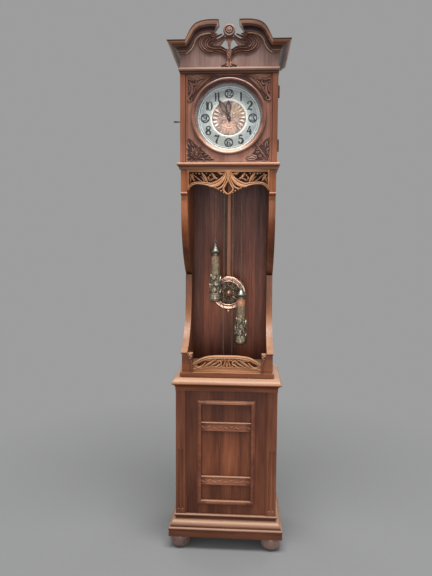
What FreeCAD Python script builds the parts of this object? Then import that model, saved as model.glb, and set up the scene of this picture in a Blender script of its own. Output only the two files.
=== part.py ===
"""A tall open-trunk longcase clock with two chain-driven weights and a free-swinging pendulum.

Lengths are millimetres. X runs to the viewer's right, Y runs into the clock, Z runs up.
The origin lies on the floor under the middle of the whole clock.
"""
import FreeCAD
import Part
import math
import os

V = FreeCAD.Vector
ALONG_X = V(1, 0, 0)
ALONG_Y = V(0, 1, 0)
ALONG_Z = V(0, 0, 1)

# Clearances and overruns
running_clearance = 0.3     # between pieces that move past each other
seat_clearance = 0.3        # between a piece and the pocket that it sits in
pivot_clearance = 0.05      # between a pivot and its hole
overrun = 5.0               # how far a cutting shape runs past what it cuts
hair = 0.001                # how near a corner lies to the plane that it is on

# Base, from the floor up
foot_height = 63.0
foot_diameter = 94.0
foot_inset = 50.0
plinth_height = 98.0
plinth_reach = 30.0
plinth_floor_thickness = 16.0
base_half_width = 231.6
base_depth = 322.0
base_height = 587.0
base_board = 18.0
base_front_recess = 6.0
pilaster_width = 44.0
pilaster_bead = 6.0
flute_width = 10.0
flute_depth = 3.0
flute_height = 290.0
flute_foot = 20.0
flute_spacing = 17.0
panel_frame_half_width = 132.0
panel_frame_bottom = 49.0
panel_frame_top_drop = 45.0  # below the top of the base's front
panel_frame_width = 18.0
panel_frame_reach = 9.0
panel_sink = 4.0
cross_bar_height = 41.0
cross_bar_depth = 6.0
cross_bar_bead = 8.0
base_top_height = 80.0
base_top_reach = 18.0
weight_well_half_width = 150.0
weight_well_front = 46.0
weight_well_back = 250.0

# Trunk
trunk_height = 915.0
cheek_outer = 210.0
cheek_thickness = 29.0
cheek_front = 17.0
cheek_waist_height = 436.0
cheek_waist_depth = 205.0
cheek_waist_step = 18.0
cheek_bend_length = 90.0
cheek_cap_height = 99.0
cheek_cap_lip = 14.0
cheek_cap_recess = 9.0
cheek_neck_height = 22.0
cheek_tongue_depth = 90.0
block_outer = 206.0
block_width = 48.0
block_height = 86.0
cheek_foot_lip = 11.0
block_front = 22.0
block_depth = 36.0
block_scroll_radius = 9.0
backboard_thickness = 16.0
backboard_groove_width = 5.0
backboard_groove_depth = 3.0
backboard_groove_side = 131.0
lower_fret_height = 84.0
lower_fret_thickness = 14.0
lower_fret_front = 28.0
upper_fret_front = 13.0
upper_fret_thickness = 14.0
upper_fret_tip_drop = 112.0

# Hood
hood_half_width = 212.3
hood_front = 10.0
hood_board = 16.0
hood_base_height = 28.0
hood_base_reach = 13.0
door_height = 375.0
door_gap = 1.0
door_thickness = 24.0
door_panel_recess = 6.0
door_stile_width = 22.5
door_bead_width = 7.5
frieze_height = 27.0
frieze_reach = 9.0
frieze_side_reach = 3.0
tympanum_height = 54.0
cornice_height = 43.0
cornice_reach = 45.0
cornice_side_reach = 51.0
neck_rise = 79.0
neck_start = 184.0
neck_end = 43.0
scroll_radius = 11.0
roof_thickness = 16.0
roof_drop = 22.0            # below the top of the hood's sides
rosette_radius = 25.0
rosette_depth = 22.0
rosette_drop = 30.0

# Door ring, glass and carvings
dial_drop_length = 180.0    # from the door's top edge to the dial's centre
ring_outer_radius = 163.0
ring_inner_radius = 141.5
ring_reach = 18.0
ring_depth = 28.0
ring_seat_wall = 7.0
glass_thickness = 3.0
carving_thickness = 5.0
carving_margin = 5.0

# Door hinges and lock
hinge_height = 48.0
hinge_top_drop = 48.0
hinge_low_rise = 50.0
hinge_knuckle_radius = 3.6
hinge_pin_radius = 1.6
hinge_knob_radius = 3.0
hinge_leaf_width = 20.0
hinge_leaf_thickness = 1.6
key_drop = 190.0
key_setback = 28.5          # behind the front of the lock's case
key_shank_radius = 2.6
key_reach = 36.0
key_bow_radius = 8.0
key_bow_wire = 1.8
key_bit_length = 6.0
key_bit_depth = 6.0
lock_depth = 46.0
lock_height = 56.0
lock_thickness = 14.0
lock_wall = 2.0
lock_setback = 4.0
bolt_setback = 6.0
bolt_width = 8.0
bolt_thickness = 4.0
bolt_length = 26.0
staple_gap = 2.0
staple_thickness = 3.0
staple_margin = 3.5

# Movement plates and seatboard
seatboard_thickness = 20.0
plate_half_width = 90.0
plate_top_rise = 92.0       # above the dial's centre
plate_bottom_drop = 51.0    # below the dial's centre
plate_thickness = 3.0
plate_gap = 64.0
front_plate_depth = 80.0    # behind the base's front face
pillar_radius = 5.0
pillar_inset = 10.0
chain_slot_margin = 8.0
rod_slot_half_width = 26.0

# Trains
arbor_radius = 1.6
pivot_radius = 1.0
wheel_thickness = 2.5
pinion_length = 8.0
pinion_teeth = 8
going_module = 0.53
going_great_teeth = 144
strike_great_teeth = 128
centre_module = 0.65
centre_teeth = 60
third_module = 0.60
third_teeth = 58
escape_teeth = 36
escape_radius = 16.5
escape_tooth_depth = 4.0
anchor_rise = 22.1          # above the escape wheel's arbor
anchor_clearance = 2.2
anchor_band = 3.0
anchor_thickness = 4.0
anchor_hub_radius = 4.0
strike_pins = 8
pin_radius = 0.8
pin_length = 4.0
pin_circle_radius = 15.5
fly_radius = 16.5
fly_width = 16.0
fly_thickness = 1.0
great_layer = 7.0           # layers are measured back from the front plate
chain_layer = 20.0
centre_layer = 32.0
third_layer = 42.0
escape_layer = 52.0
layer_step = 4.0
motion_module = 0.7
cannon_teeth = 15
minute_wheel_teeth = 45
minute_pinion_teeth = 12
hour_wheel_teeth = 48
minute_wheel_angle = 140.0
cannon_pipe_radius = 2.7
hour_pipe_radius = 4.3
minute_wheel_layer = 7.0    # motion-work layers are measured forward from the front plate
hour_wheel_layer = 15.0

# Chains and weights
chain_wheel_spacing = 40.0
chain_wheel_radius = 20.0
chain_radius = 1.3
chain_flange_reach = 2.2
chain_wheel_width = 9.0
chain_run = 1800.0          # both hanging sides of one chain together
left_weight_hang = 531.0
right_weight_hang = 731.0
weight_length = 272.0
weight_radius = 31.5
weight_ring_radius = 6.0
weight_ring_wire = 1.6
end_ring_radius = 5.5
end_ring_wire = 1.5

# Dial and hands
dial_depth = 45.0           # the dial's face, behind the base's front face
dial_radius = 150.0
dial_plate_thickness = 1.5
chapter_thickness = 2.0
centre_radius = 74.0
centre_thickness = 1.5
dial_hole_radius = 6.0
dial_foot_radius = 3.0
dial_foot_side = 72.0
dial_foot_rise = 40.0
hour_hand_length = 76.0
minute_hand_length = 88.0
hand_thickness = 1.2
hour_hand_lift = 2.5
minute_hand_lift = 5.5
hand_tail = 18.0
hand_nut_radius = 5.0
hand_nut_height = 3.0
hours_shown = 11.0
minutes_shown = 55.0
hour_angle = 30.0           # degrees between hours on the dial
minute_angle = 6.0          # degrees between minutes

# Pendulum, crutch and suspension
pendulum_depth = 175.0      # behind the base's front face
pendulum_length = 851.0
bob_radius = 81.5
bob_thickness = 26.0
bob_rim_width = 15.0
bob_web_thickness = 14.0
bob_inner_rim_radius = 60.0
bob_inner_rim_width = 6.0
bob_boss_radius = 15.0
rod_top_width = 9.0
rod_low_width = 17.0
rod_thickness = 7.0
suspension_length = 26.0
suspension_width = 12.0
suspension_thickness = 0.4
screw_radius = 2.0
screw_length = 16.0
rating_nut_radius = 7.0
rating_nut_height = 6.0
crutch_length = 95.0
crutch_width = 5.0
crutch_thickness = 2.0
crutch_prong_length = 22.0
crutch_prong_width = 2.5
cock_width = 26.0
cock_height = 22.0
cock_wall = 8.0

# Strike
gong_radius = 50.0
gong_turns = 4
gong_wire_radius = 2.0
gong_pitch = 8.0
gong_side = 122.0
gong_rise = 84.0            # above the dial's centre
gong_depth = 215.0
gong_stand_radius = 7.0
hammer_arbor_side = 76.0
hammer_arm_radius = 1.5
hammer_head_radius = 6.0
hammer_head_length = 14.0
hammer_gap = 2.0
hammer_tail_length = 17.0
hammer_tail_width = 4.0
hammer_tail_thickness = 2.0

# Levels
base_bottom = foot_height + plinth_height
panel_frame_height = base_height - panel_frame_bottom - panel_frame_top_drop
base_top_bottom = base_bottom + base_height
trunk_bottom = base_top_bottom + base_top_height
hood_bottom = trunk_bottom + trunk_height
door_bottom = hood_bottom + hood_base_height + door_gap
door_top = door_bottom + door_height
frieze_bottom = door_top + door_gap
frieze_top = frieze_bottom + frieze_height
cornice_bottom = frieze_top + tympanum_height
cornice_top = cornice_bottom + cornice_height
clock_top = cornice_top + neck_rise
waist = trunk_bottom + cheek_waist_height
cap_bottom = hood_bottom - cheek_cap_height
dial_z = door_top - dial_drop_length

# Planes across the depth
front_y = cornice_reach - (cornice_reach + base_depth) / 2
back_y = front_y + base_depth
backboard_y = back_y - backboard_thickness
hood_front_y = front_y + hood_front
door_back_y = hood_front_y + door_thickness
dial_y = front_y + dial_depth
plate_y = front_y + front_plate_depth
gap_y = plate_y + plate_thickness
back_plate_y = gap_y + plate_gap
chain_y = gap_y + chain_layer
pendulum_y = front_y + pendulum_depth

# Arbor places, as (x, z)
going_distance = (going_great_teeth + pinion_teeth) * going_module / 2
strike_distance = (strike_great_teeth + pinion_teeth) * going_module / 2
centre_distance = (centre_teeth + pinion_teeth) * centre_module / 2
third_distance = (third_teeth + pinion_teeth) * third_module / 2
great_drop = math.sqrt(going_distance ** 2 - chain_wheel_spacing ** 2)
centre_at = (0.0, dial_z)
going_at = (-chain_wheel_spacing, dial_z - great_drop)
strike_at = (chain_wheel_spacing, dial_z - great_drop)
third_at = (0.0, dial_z + centre_distance)
escape_at = (0.0, third_at[1] + third_distance)
anchor_at = (0.0, escape_at[1] + anchor_rise)
pin_wheel_at = (chain_wheel_spacing, strike_at[1] + strike_distance)
fly_at = (chain_wheel_spacing, pin_wheel_at[1] + centre_distance)
hammer_at = (hammer_arbor_side, pin_wheel_at[1])
motion_distance = (cannon_teeth + minute_wheel_teeth) * motion_module / 2
minute_wheel_at = (
    motion_distance * math.cos(math.radians(minute_wheel_angle)),
    dial_z + motion_distance * math.sin(math.radians(minute_wheel_angle)),
)
chain_z = going_at[1]
seatboard_top = dial_z - plate_bottom_drop
seatboard_bottom = seatboard_top - seatboard_thickness


# Plain solids

def block(x0, x1, y0, y1, z0, z1):
    """A box between two corners."""
    return Part.makeBox(x1 - x0, y1 - y0, z1 - z0, V(x0, y0, z0))


def rod_y(at, radius, y0, y1):
    """A round rod along Y, at (x, z)."""
    return Part.makeCylinder(radius, y1 - y0, V(at[0], y0, at[1]), ALONG_Y)


def rod_z(x, y, radius, z0, z1):
    """An upright round rod."""
    return Part.makeCylinder(radius, z1 - z0, V(x, y, z0), ALONG_Z)


def ring_y(at, radius, wire):
    """A ring of round wire that faces the viewer, its centre at (x, y, z)."""
    return Part.makeTorus(radius, wire, at, ALONG_Y)


def fused(solids):
    """One solid from several that overlap or share a face."""
    return solids[0].fuse(solids[1:]).removeSplitter()


def mirrored(solid):
    """The same solid on the other side of the clock."""
    return solid.mirror(V(0, 0, 0), ALONG_X)


# Outlines

def in_xz(u, v):
    return V(u, 0, v)


def in_yz(u, v):
    return V(0, u, v)


def in_xy(u, v):
    return V(u, v, 0)


def joined(points, place):
    """Edges from point to point; a third number bows that edge, as a share of its chord."""
    edges = []
    for start, end in zip(points, points[1:]):
        first = place(start[0], start[1])
        last = place(end[0], end[1])
        bow = start[2] if len(start) > 2 else 0
        if bow:
            across = place(start[1] - end[1], end[0] - start[0])
            middle = (first + last) * 0.5 + across * bow
            edges.append(Part.Arc(first, middle, last).toShape())
        else:
            edges.append(Part.LineSegment(first, last).toShape())
    return edges


def closed_wire(points, place):
    return Part.Wire(joined(list(points) + [points[0]], place))


def curve(points, place):
    """One smooth edge through the points."""
    line = Part.BSplineCurve()
    line.interpolate([place(u, v) for u, v in points])
    return line.toShape()


def smooth_wire(runs, place):
    """A closed outline from runs of points, each run smooth, with a corner between runs."""
    edges = [curve(run, place) if len(run) > 2 else joined(run, place)[0] for run in runs]
    return Part.Wire(edges)


def flat_face(wires):
    """A flat face inside its outer wire, open inside the others."""
    return Part.makeFace(wires, "Part::FaceMakerBullseye")


def prism_y(wires, y0, y1):
    """Solid from outlines in XZ, between two planes of Y."""
    face = flat_face(wires)
    face.translate(V(0, y0, 0))
    return face.extrude(V(0, y1 - y0, 0))


def prism_x(wires, x0, x1):
    face = flat_face(wires)
    face.translate(V(x0, 0, 0))
    return face.extrude(V(x1 - x0, 0, 0))


def prism_z(wires, z0, z1):
    face = flat_face(wires)
    face.translate(V(0, 0, z0))
    return face.extrude(V(0, 0, z1 - z0))


def steps(points):
    """The straight runs from each point to the next."""
    return [[first, last] for first, last in zip(points, points[1:])]


def scaled(shares, wide, high, u0=0.0, v0=0.0):
    """Points from shares of a width and a height; a bow goes through as it is."""
    return [(u0 + point[0] * wide, v0 + point[1] * high) + tuple(point[2:]) for point in shares]


def flipped(points):
    """The points mirrored to the other side and taken in the other order."""
    return [(-u, v) for u, v in reversed(points)]


def turned(points, x, y):
    """Solid of revolution about an upright axis; the points are (radius, z)."""
    wire = closed_wire(points, in_xz)
    solid = Part.Face(wire).revolve(V(0, 0, 0), ALONG_Z, 360)
    solid.translate(V(x, y, 0))
    return solid


def turned_y(points, at):
    """Solid of revolution about an axis along Y at (x, z); the points are (radius, y)."""
    wire = closed_wire(points, in_xy)
    solid = Part.Face(wire).revolve(V(0, 0, 0), ALONG_Y, 360)
    solid.translate(V(at[0], 0, at[1]))
    return solid


def moulded_block(shares, reach, side_reach, height, half_width, front, bottom):
    """A block with a moulded front and sides, mitred at the corners and flat at the back."""
    side = scaled(shares, side_reach, height, half_width, bottom)
    other = [(-u, v, -rest[0]) if rest else (-u, v) for u, v, *rest in side]
    edges = joined(side, in_xz) + joined(other, in_xz)
    edges += joined([side[0], other[0]], in_xz) + joined([side[-1], other[-1]], in_xz)
    across = prism_y([Part.Wire(Part.__sortEdges__(edges))], front - reach - overrun, back_y)
    ahead = scaled(shares, -reach, height, front, bottom)
    ahead = [(u, v, -rest[0]) if rest else (u, v) for u, v, *rest in ahead]
    edges = joined(ahead, in_yz)
    edges += joined([ahead[-1], (back_y, ahead[-1][1]), (back_y, ahead[0][1]), ahead[0]], in_yz)
    width = half_width + side_reach + overrun
    along = prism_x([Part.Wire(edges)], -width, width)
    return across.common(along)


def save(name, *solids):
    """Write one sub-part, of one solid or several."""
    shape = solids[0] if len(solids) == 1 else Part.makeCompound(list(solids))
    shape.exportStep(os.path.join("parts", name + ".step"))


# Base

foot_shares = (
    (0, 0), (0.62, 0), (0.68, 0.06, -0.16), (1.0, 0.50, -0.05), (0.97, 0.82, -0.1), (0.84, 1.0), (0, 1.0),
)
plinth_shares = (
    (1.0, 0.0), (1.0, 0.31, -0.25), (0.86, 0.43), (0.80, 0.44), (0.78, 0.50, -0.14),
    (0.27, 0.70), (0.08, 0.72, 0.12), (0.06, 0.86), (0.06, 0.88, -0.45), (0.06, 1.0), (0, 1.0),
)
base_top_shares = (
    (0.10, 0.0), (0.10, 0.17, 0.14), (0.85, 0.38), (1.0, 0.39), (1.0, 0.44, -0.14),
    (-0.65, 0.70), (-1.15, 0.71), (-1.15, 0.75), (-0.95, 0.76), (-0.95, 1.0),
)
base_inner = base_half_width - base_board
front_board_y = front_y + base_front_recess
field_y = front_board_y + panel_sink
foot_side = base_half_width + plinth_reach - foot_inset


def bun_feet():
    """Four turned feet under the corners of the plinth."""
    outline = scaled(foot_shares, foot_diameter / 2, foot_height)
    rows = (front_y - plinth_reach + foot_inset, back_y - foot_inset)
    return [turned(outline, x, y) for y in rows for x in (-foot_side, foot_side)]


def plinth():
    """The moulded frame under the base, and the floor board inside it."""
    frame = moulded_block(
        plinth_shares, plinth_reach, plinth_reach, plinth_height, base_half_width, front_y, foot_height
    )
    inner_y = front_board_y + base_board
    top = foot_height + plinth_height
    frame = frame.cut(
        block(-base_inner, base_inner, inner_y, back_y + overrun, foot_height - overrun, top + overrun)
    )
    floor_top = foot_height + plinth_floor_thickness
    floor = block(-base_inner, base_inner, inner_y, backboard_y, foot_height, floor_top)
    return [frame, floor]


def base_side():
    """The left side board of the base."""
    return block(-base_half_width, -base_inner, front_board_y, back_y, base_bottom, base_top_bottom)


def base_front():
    """The front board, with the sunk field inside the panel frame."""
    board = block(
        -base_inner, base_inner, front_board_y, front_board_y + base_board, base_bottom, base_top_bottom
    )
    half = panel_frame_half_width - panel_frame_width
    low = base_bottom + panel_frame_bottom + panel_frame_width
    high = base_bottom + panel_frame_bottom + panel_frame_height - panel_frame_width
    return board.cut(block(-half, half, front_board_y - overrun, field_y, low, high))


def flute(x):
    """The cutting shape of one round-ended flute."""
    radius = flute_width / 2
    y = front_y - radius + flute_depth
    low = base_bottom + flute_foot + radius
    high = low + flute_height - flute_width
    ends = [Part.makeSphere(radius, V(x, y, z)) for z in (low, high)]
    return fused([rod_z(x, y, radius, low, high)] + ends)


def pilaster():
    """The left pilaster, with two flutes and a bead on its inner edge."""
    inner = -base_half_width + pilaster_width
    bead_lap = pilaster_bead / 6
    board = block(-base_half_width, inner, front_y, front_board_y, base_bottom, base_top_bottom)
    bead_start = inner - bead_lap
    half_round = [(bead_start, front_board_y, -0.5), (bead_start + pilaster_bead, front_board_y)]
    bead = prism_z([closed_wire(half_round, in_xy)], base_bottom, base_top_bottom)
    middle = -base_half_width + pilaster_width / 2
    for x in (middle - flute_spacing / 2, middle + flute_spacing / 2):
        board = board.cut(flute(x))
    return board.fuse(bead)


def panel_frame():
    """The raised frame round the field, in two steps."""
    half = panel_frame_half_width
    low = base_bottom + panel_frame_bottom
    high = low + panel_frame_height
    front = front_board_y - panel_frame_reach
    step = panel_frame_width / 4
    frame = block(-half, half, front + panel_frame_reach / 2, front_board_y, low, high)
    frame = frame.fuse(block(-half + step, half - step, front, front_board_y, low + step, high - step))
    inner = half - panel_frame_width
    round_over = panel_frame_reach / 3
    window = block(
        -inner,
        inner,
        front - overrun,
        front_board_y + overrun,
        low + panel_frame_width,
        high - panel_frame_width,
    )
    frame = frame.cut(window)
    edges = [edge for edge in frame.Edges if all(abs(v.Y - front) < hair for v in edge.Vertexes)]
    return frame.makeFillet(round_over, edges)


def cross_bar(share):
    """A flat bar with a bead on top, across the field, at a share of the frame's height."""
    half = panel_frame_half_width - panel_frame_width
    low = base_bottom + panel_frame_bottom + panel_frame_height * share
    bead_low = low + cross_bar_height - cross_bar_bead
    y = field_y - cross_bar_depth
    band = block(-half, half, y, field_y, low, bead_low + cross_bar_bead)
    bead = prism_x([closed_wire([(y, bead_low, 0.5), (y, bead_low + cross_bar_bead)], in_yz)], -half, half)
    return band.fuse(bead)


cross_bar_shares = (0.189, 0.710)


def panel_mouldings():
    return [panel_frame()] + [cross_bar(share) for share in cross_bar_shares]


def base_top():
    """The moulded top of the base, open in the middle so that the weights can run down inside."""
    slab = moulded_block(
        base_top_shares,
        base_top_reach,
        base_top_reach,
        base_top_height,
        base_half_width,
        front_y,
        base_top_bottom,
    )
    low = base_top_bottom - overrun
    high = trunk_bottom + overrun
    well = block(
        -weight_well_half_width,
        weight_well_half_width,
        front_y + weight_well_front,
        front_y + weight_well_back,
        low,
        high,
    )
    board = block(-cheek_outer, cheek_outer, backboard_y, back_y + overrun, low, high)
    return slab.cut(well).cut(board)


# Trunk

hood_inner = hood_half_width - hood_board
cheek_inner = cheek_outer - cheek_thickness
roof_top = cornice_top - roof_drop
roof_bottom = roof_top - roof_thickness


def backboard():
    """One grooved board from the plinth to the roof, narrower in the hood."""
    right = [
        (base_inner, foot_height),
        (base_inner, base_top_bottom),
        (cheek_outer, base_top_bottom),
        (cheek_outer, hood_bottom),
        (hood_inner, hood_bottom),
        (hood_inner, roof_bottom),
    ]
    board = prism_y([closed_wire(right + flipped(right), in_xz)], backboard_y, back_y)
    half_groove = backboard_groove_width / 2
    for x in (-backboard_groove_side, backboard_groove_side):
        board = board.cut(
            block(
                x - half_groove,
                x + half_groove,
                backboard_y - overrun,
                backboard_y + backboard_groove_depth,
                trunk_bottom,
                hood_bottom,
            )
        )
    return board


def cheek():
    """The left side board of the trunk, shaped along its front edge, with its tongue in the hood."""
    cap_y = front_y + cheek_front
    waist_y = front_y + cheek_waist_depth
    block_top = trunk_bottom + block_height
    foot_top = block_top + cheek_foot_lip
    block_back = front_y + block_front + block_depth
    neck_bottom = cap_bottom - cheek_cap_lip - cheek_neck_height
    outline = [
        (backboard_y, hood_bottom),
        (cap_y, hood_bottom),
        (cap_y, cap_bottom, -0.5),
        (cap_y, cap_bottom - cheek_cap_lip),
        (cap_y + cheek_cap_recess, cap_bottom - cheek_cap_lip),
        (cap_y + cheek_cap_recess, neck_bottom),
        (cap_y + cheek_cap_recess / 2, neck_bottom, -0.14),
        (waist_y + cheek_waist_step, waist),
        (waist_y, waist),
        (waist_y, waist - cheek_bend_length, 0.16),
        (cap_y + cheek_cap_recess, foot_top),
        (cap_y, foot_top, -0.5),
        (cap_y, block_top),
        (block_back, block_top),
        (block_back, trunk_bottom),
        (backboard_y, trunk_bottom),
    ]
    board = prism_x([closed_wire(outline, in_yz)], -cheek_outer, -cheek_inner)
    tongue = block(
        -hood_inner + seat_clearance,
        -cheek_inner,
        front_y + cheek_tongue_depth,
        backboard_y,
        hood_bottom,
        seatboard_bottom,
    )
    return board.fuse(tongue)


def cheek_blocks():
    """The blocks in front of the cheeks' feet, each with a small scroll at the top."""
    x0 = -block_outer
    x1 = x0 + block_width
    y0 = front_y + block_front
    y1 = y0 + block_depth
    top = trunk_bottom + block_height
    body = block(x0, x1, y0, y1, trunk_bottom, top)
    eye = (x1 - block_scroll_radius, top - block_scroll_radius)
    scroll = rod_y(eye, block_scroll_radius, y0 - panel_sink, y0)
    left = body.fuse(scroll)
    return [left, mirrored(left)]


def leaf_hole(tip, other_tip, bow):
    """A pointed opening between two tips, bowed out on both sides."""
    return closed_wire([tip + (bow,), other_tip + (bow,)], in_xz)


lower_fret_arch_shares = ((1.0, 0.55), (0.83, 0.73), (0.60, 0.92), (0, 1.0))
lower_fret_hole_shares = (
    ((0.82, 0.36), (0.50, 0.66), 0.13),
    ((0.62, 0.34), (0.30, 0.72), 0.15),
    ((0.36, 0.34), (0.10, 0.72), 0.15),
)


def lower_fret():
    """The arched, pierced board between the cheek blocks."""
    half = block_outer - block_width
    right = scaled(lower_fret_arch_shares, half, lower_fret_height, 0.0, trunk_bottom)
    arch = right + flipped(right)[1:]
    foot = [(-half, trunk_bottom), (half, trunk_bottom)]
    outer = smooth_wire([foot, [foot[1], arch[0]], arch, [arch[-1], foot[0]]], in_xz)
    holes = []
    for first, last, bow in lower_fret_hole_shares:
        ends = scaled((first, last), half, lower_fret_height, 0.0, trunk_bottom)
        holes.append(leaf_hole(ends[0], ends[1], bow))
        holes.append(leaf_hole((-ends[1][0], ends[1][1]), (-ends[0][0], ends[0][1]), bow))
    y = front_y + lower_fret_front
    return prism_y([outer] + holes, y, y + lower_fret_thickness)


upper_fret_edge_shares = (
    (1.0, -0.80), (0.93, -0.68), (0.86, -0.60), (0.76, -0.575), (0.57, -0.60),
    (0.44, -0.66), (0.32, -0.76), (0.16, -0.88), (0, -1.0),
)
upper_fret_hole_shares = (
    ((0.95, -0.44), (0.84, -0.26), 0.12), ((0.78, -0.38), (0.66, -0.22), 0.2),
    ((0.60, -0.36), (0.42, -0.18), 0.16), ((0.38, -0.32), (0.20, -0.18), 0.2),
    ((0.20, -0.62), (0.12, -0.42), 0.16), ((0.32, -0.56), (0.22, -0.40), 0.14),
)
teardrop_shares = ((0.0, -0.46), (0.08, -0.66), (0.0, -0.86), (-0.08, -0.66), (0.0, -0.46))


def upper_fret():
    """The pierced apron under the hood, drawn down to a point in the middle."""
    half = cheek_inner
    right = scaled(upper_fret_edge_shares, half, upper_fret_tip_drop, 0.0, hood_bottom)
    left = flipped(right)
    top = [(-half, hood_bottom), (half, hood_bottom)]
    outer = smooth_wire([top, [top[1], right[0]], right, left, [left[-1], top[0]]], in_xz)
    holes = [smooth_wire([scaled(teardrop_shares, half, upper_fret_tip_drop, 0.0, hood_bottom)], in_xz)]
    for first, last, bow in upper_fret_hole_shares:
        ends = scaled((first, last), half, upper_fret_tip_drop, 0.0, hood_bottom)
        holes.append(leaf_hole(ends[0], ends[1], bow))
        holes.append(leaf_hole((-ends[1][0], ends[1][1]), (-ends[0][0], ends[0][1]), bow))
    y = front_y + upper_fret_front
    return prism_y([outer] + holes, y, y + upper_fret_thickness)


# Hood

hood_base_shares = (
    (0.30, 0.0), (0.35, 0.22, 0.12), (0.85, 0.50), (1.0, 0.52), (1.0, 0.72, -0.2), (0.10, 1.0), (0, 1.0),
)
frieze_shares = (
    (0.10, 0.0), (0.40, 0.10), (0.40, 0.24), (1.0, 0.30, -0.2), (1.0, 0.80), (0.5, 0.84, -0.2), (0.0, 1.0),
)
cornice_shares = (
    (0.0, 0.0), (0.10, 0.01, -0.45), (0.10, 0.11), (0.16, 0.12, 0.22), (0.52, 0.52),
    (0.60, 0.53), (0.60, 0.70), (0.66, 0.71, -0.16), (0.98, 0.96), (1.0, 1.0),
)
neck_top_shares = ((0, 0), (0.06, 0.22), (0.15, 0.53), (0.27, 0.78), (0.48, 0.95), (1.0, 1.0))
neck_low_shares = ((0, 0), (0.14, 0.18), (0.23, 0.43), (0.30, 0.75), (0.46, 0.95), (0.79, 1.0))
neck_layer_shares = (
    (0.0, 0.05, 0.98), (0.05, 0.11, 0.93), (0.11, 0.17, 0.85), (0.17, 0.23, 0.76), (0.23, 0.30, 0.64),
    (0.30, 0.47, 0.59), (0.47, 0.52, 0.38), (0.52, 0.58, 0.26), (0.58, 0.72, 0.20), (0.72, 0.89, 0.15),
    (0.89, 1.0, 0.09),
)
scroll_reach_share = 0.35
tympanum_peak_shares = ((0.33, 0.885), (0.22, 0.89), (0.10, 0.94))
tympanum_hole_shares = (
    ((0.014, 0.564), (0.076, 0.568), (0.163, 0.598), (0.240, 0.650)),
    ((0.240, 0.650), (0.217, 0.700), (0.168, 0.774), (0.120, 0.865), (0.082, 0.895)),
    ((0.082, 0.895), (0.049, 0.835), (0.027, 0.699), (0.014, 0.564)),
)
tympanum_slit_share = ((0.364, 0.654), (0.430, 0.707), 0.25)


def hood_base_moulding():
    """The moulded frame that the hood stands on."""
    frame = moulded_block(
        hood_base_shares,
        hood_base_reach,
        hood_base_reach,
        hood_base_height,
        hood_half_width,
        hood_front_y,
        hood_bottom,
    )
    return frame.cut(
        block(
            -hood_inner,
            hood_inner,
            door_back_y + hood_board,
            back_y + overrun,
            hood_bottom - overrun,
            hood_bottom + hood_base_height + overrun,
        )
    )


key_at_y = door_back_y + lock_setback + key_setback
key_z = door_top - key_drop


def hood_side():
    """The left side board of the hood."""
    return block(
        -hood_half_width,
        -hood_inner,
        door_back_y + running_clearance,
        back_y,
        hood_bottom + hood_base_height,
        cornice_top,
    )


def hood_sides():
    """Both side boards; the left one has the keyhole."""
    keyhole = Part.makeCylinder(
        key_shank_radius + running_clearance,
        hood_board + 2 * overrun,
        V(-hood_half_width - overrun, key_at_y, key_z),
        ALONG_X,
    )
    return [hood_side().cut(keyhole), mirrored(hood_side())]


def hood_roof():
    return block(
        -hood_inner, hood_inner, door_back_y + running_clearance, back_y, roof_bottom, roof_top
    )


def hood_core(bottom, top):
    """The space inside the mouldings that are planted round the hood."""
    return block(
        -hood_half_width,
        hood_half_width,
        door_back_y,
        back_y + overrun,
        bottom - overrun,
        top + overrun,
    )


def frieze():
    """The moulded rail over the door and along the hood's sides."""
    rail = moulded_block(
        frieze_shares,
        frieze_reach,
        frieze_side_reach,
        frieze_height,
        hood_half_width,
        hood_front_y,
        frieze_bottom,
    )
    return rail.cut(hood_core(frieze_bottom, frieze_top))


def neck_curve(share):
    """The points of the left neck moulding, from its top edge at 0 to its bead at 1."""
    run = neck_start - neck_end
    high = scaled(neck_top_shares, run, neck_rise, -neck_start, cornice_top)
    low = scaled(neck_low_shares, run, neck_rise, -neck_start, cornice_bottom)
    return [(a + (c - a) * share, b + (d - b) * share) for (a, b), (c, d) in zip(high, low)]


def neck():
    """The left neck moulding that sweeps up from the cornice to its scroll."""
    reach = cornice_reach + hood_front
    layers = []
    for first, last, forward in neck_layer_shares:
        high = neck_curve(first)
        low = neck_curve(last)
        outline = smooth_wire([high, [high[-1], low[-1]], low[::-1], [low[0], high[0]]], in_xz)
        layers.append(prism_y([outline], hood_front_y - reach * forward, door_back_y))
    return layers


def cornice():
    """The left cornice: its front, its return along the side, its neck and its scroll."""
    straight = moulded_block(
        cornice_shares,
        cornice_reach + hood_front,
        cornice_side_reach,
        cornice_height,
        hood_half_width,
        hood_front_y,
        cornice_bottom,
    )
    straight = straight.cut(hood_core(cornice_bottom, cornice_top))
    far = hood_half_width + cornice_side_reach + overrun
    near = cornice_reach + hood_front + overrun
    rest = block(
        -neck_start,
        far,
        hood_front_y - near,
        back_y + overrun,
        cornice_bottom - overrun,
        cornice_top + overrun,
    )
    eye = neck_curve(1)[-1]
    scroll = rod_y(
        (eye[0] + scroll_radius / 3, eye[1] - scroll_radius / 2),
        scroll_radius,
        hood_front_y - cornice_reach * scroll_reach_share,
        hood_front_y,
    )
    return fused([straight.cut(rest)] + neck() + [scroll])


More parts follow.
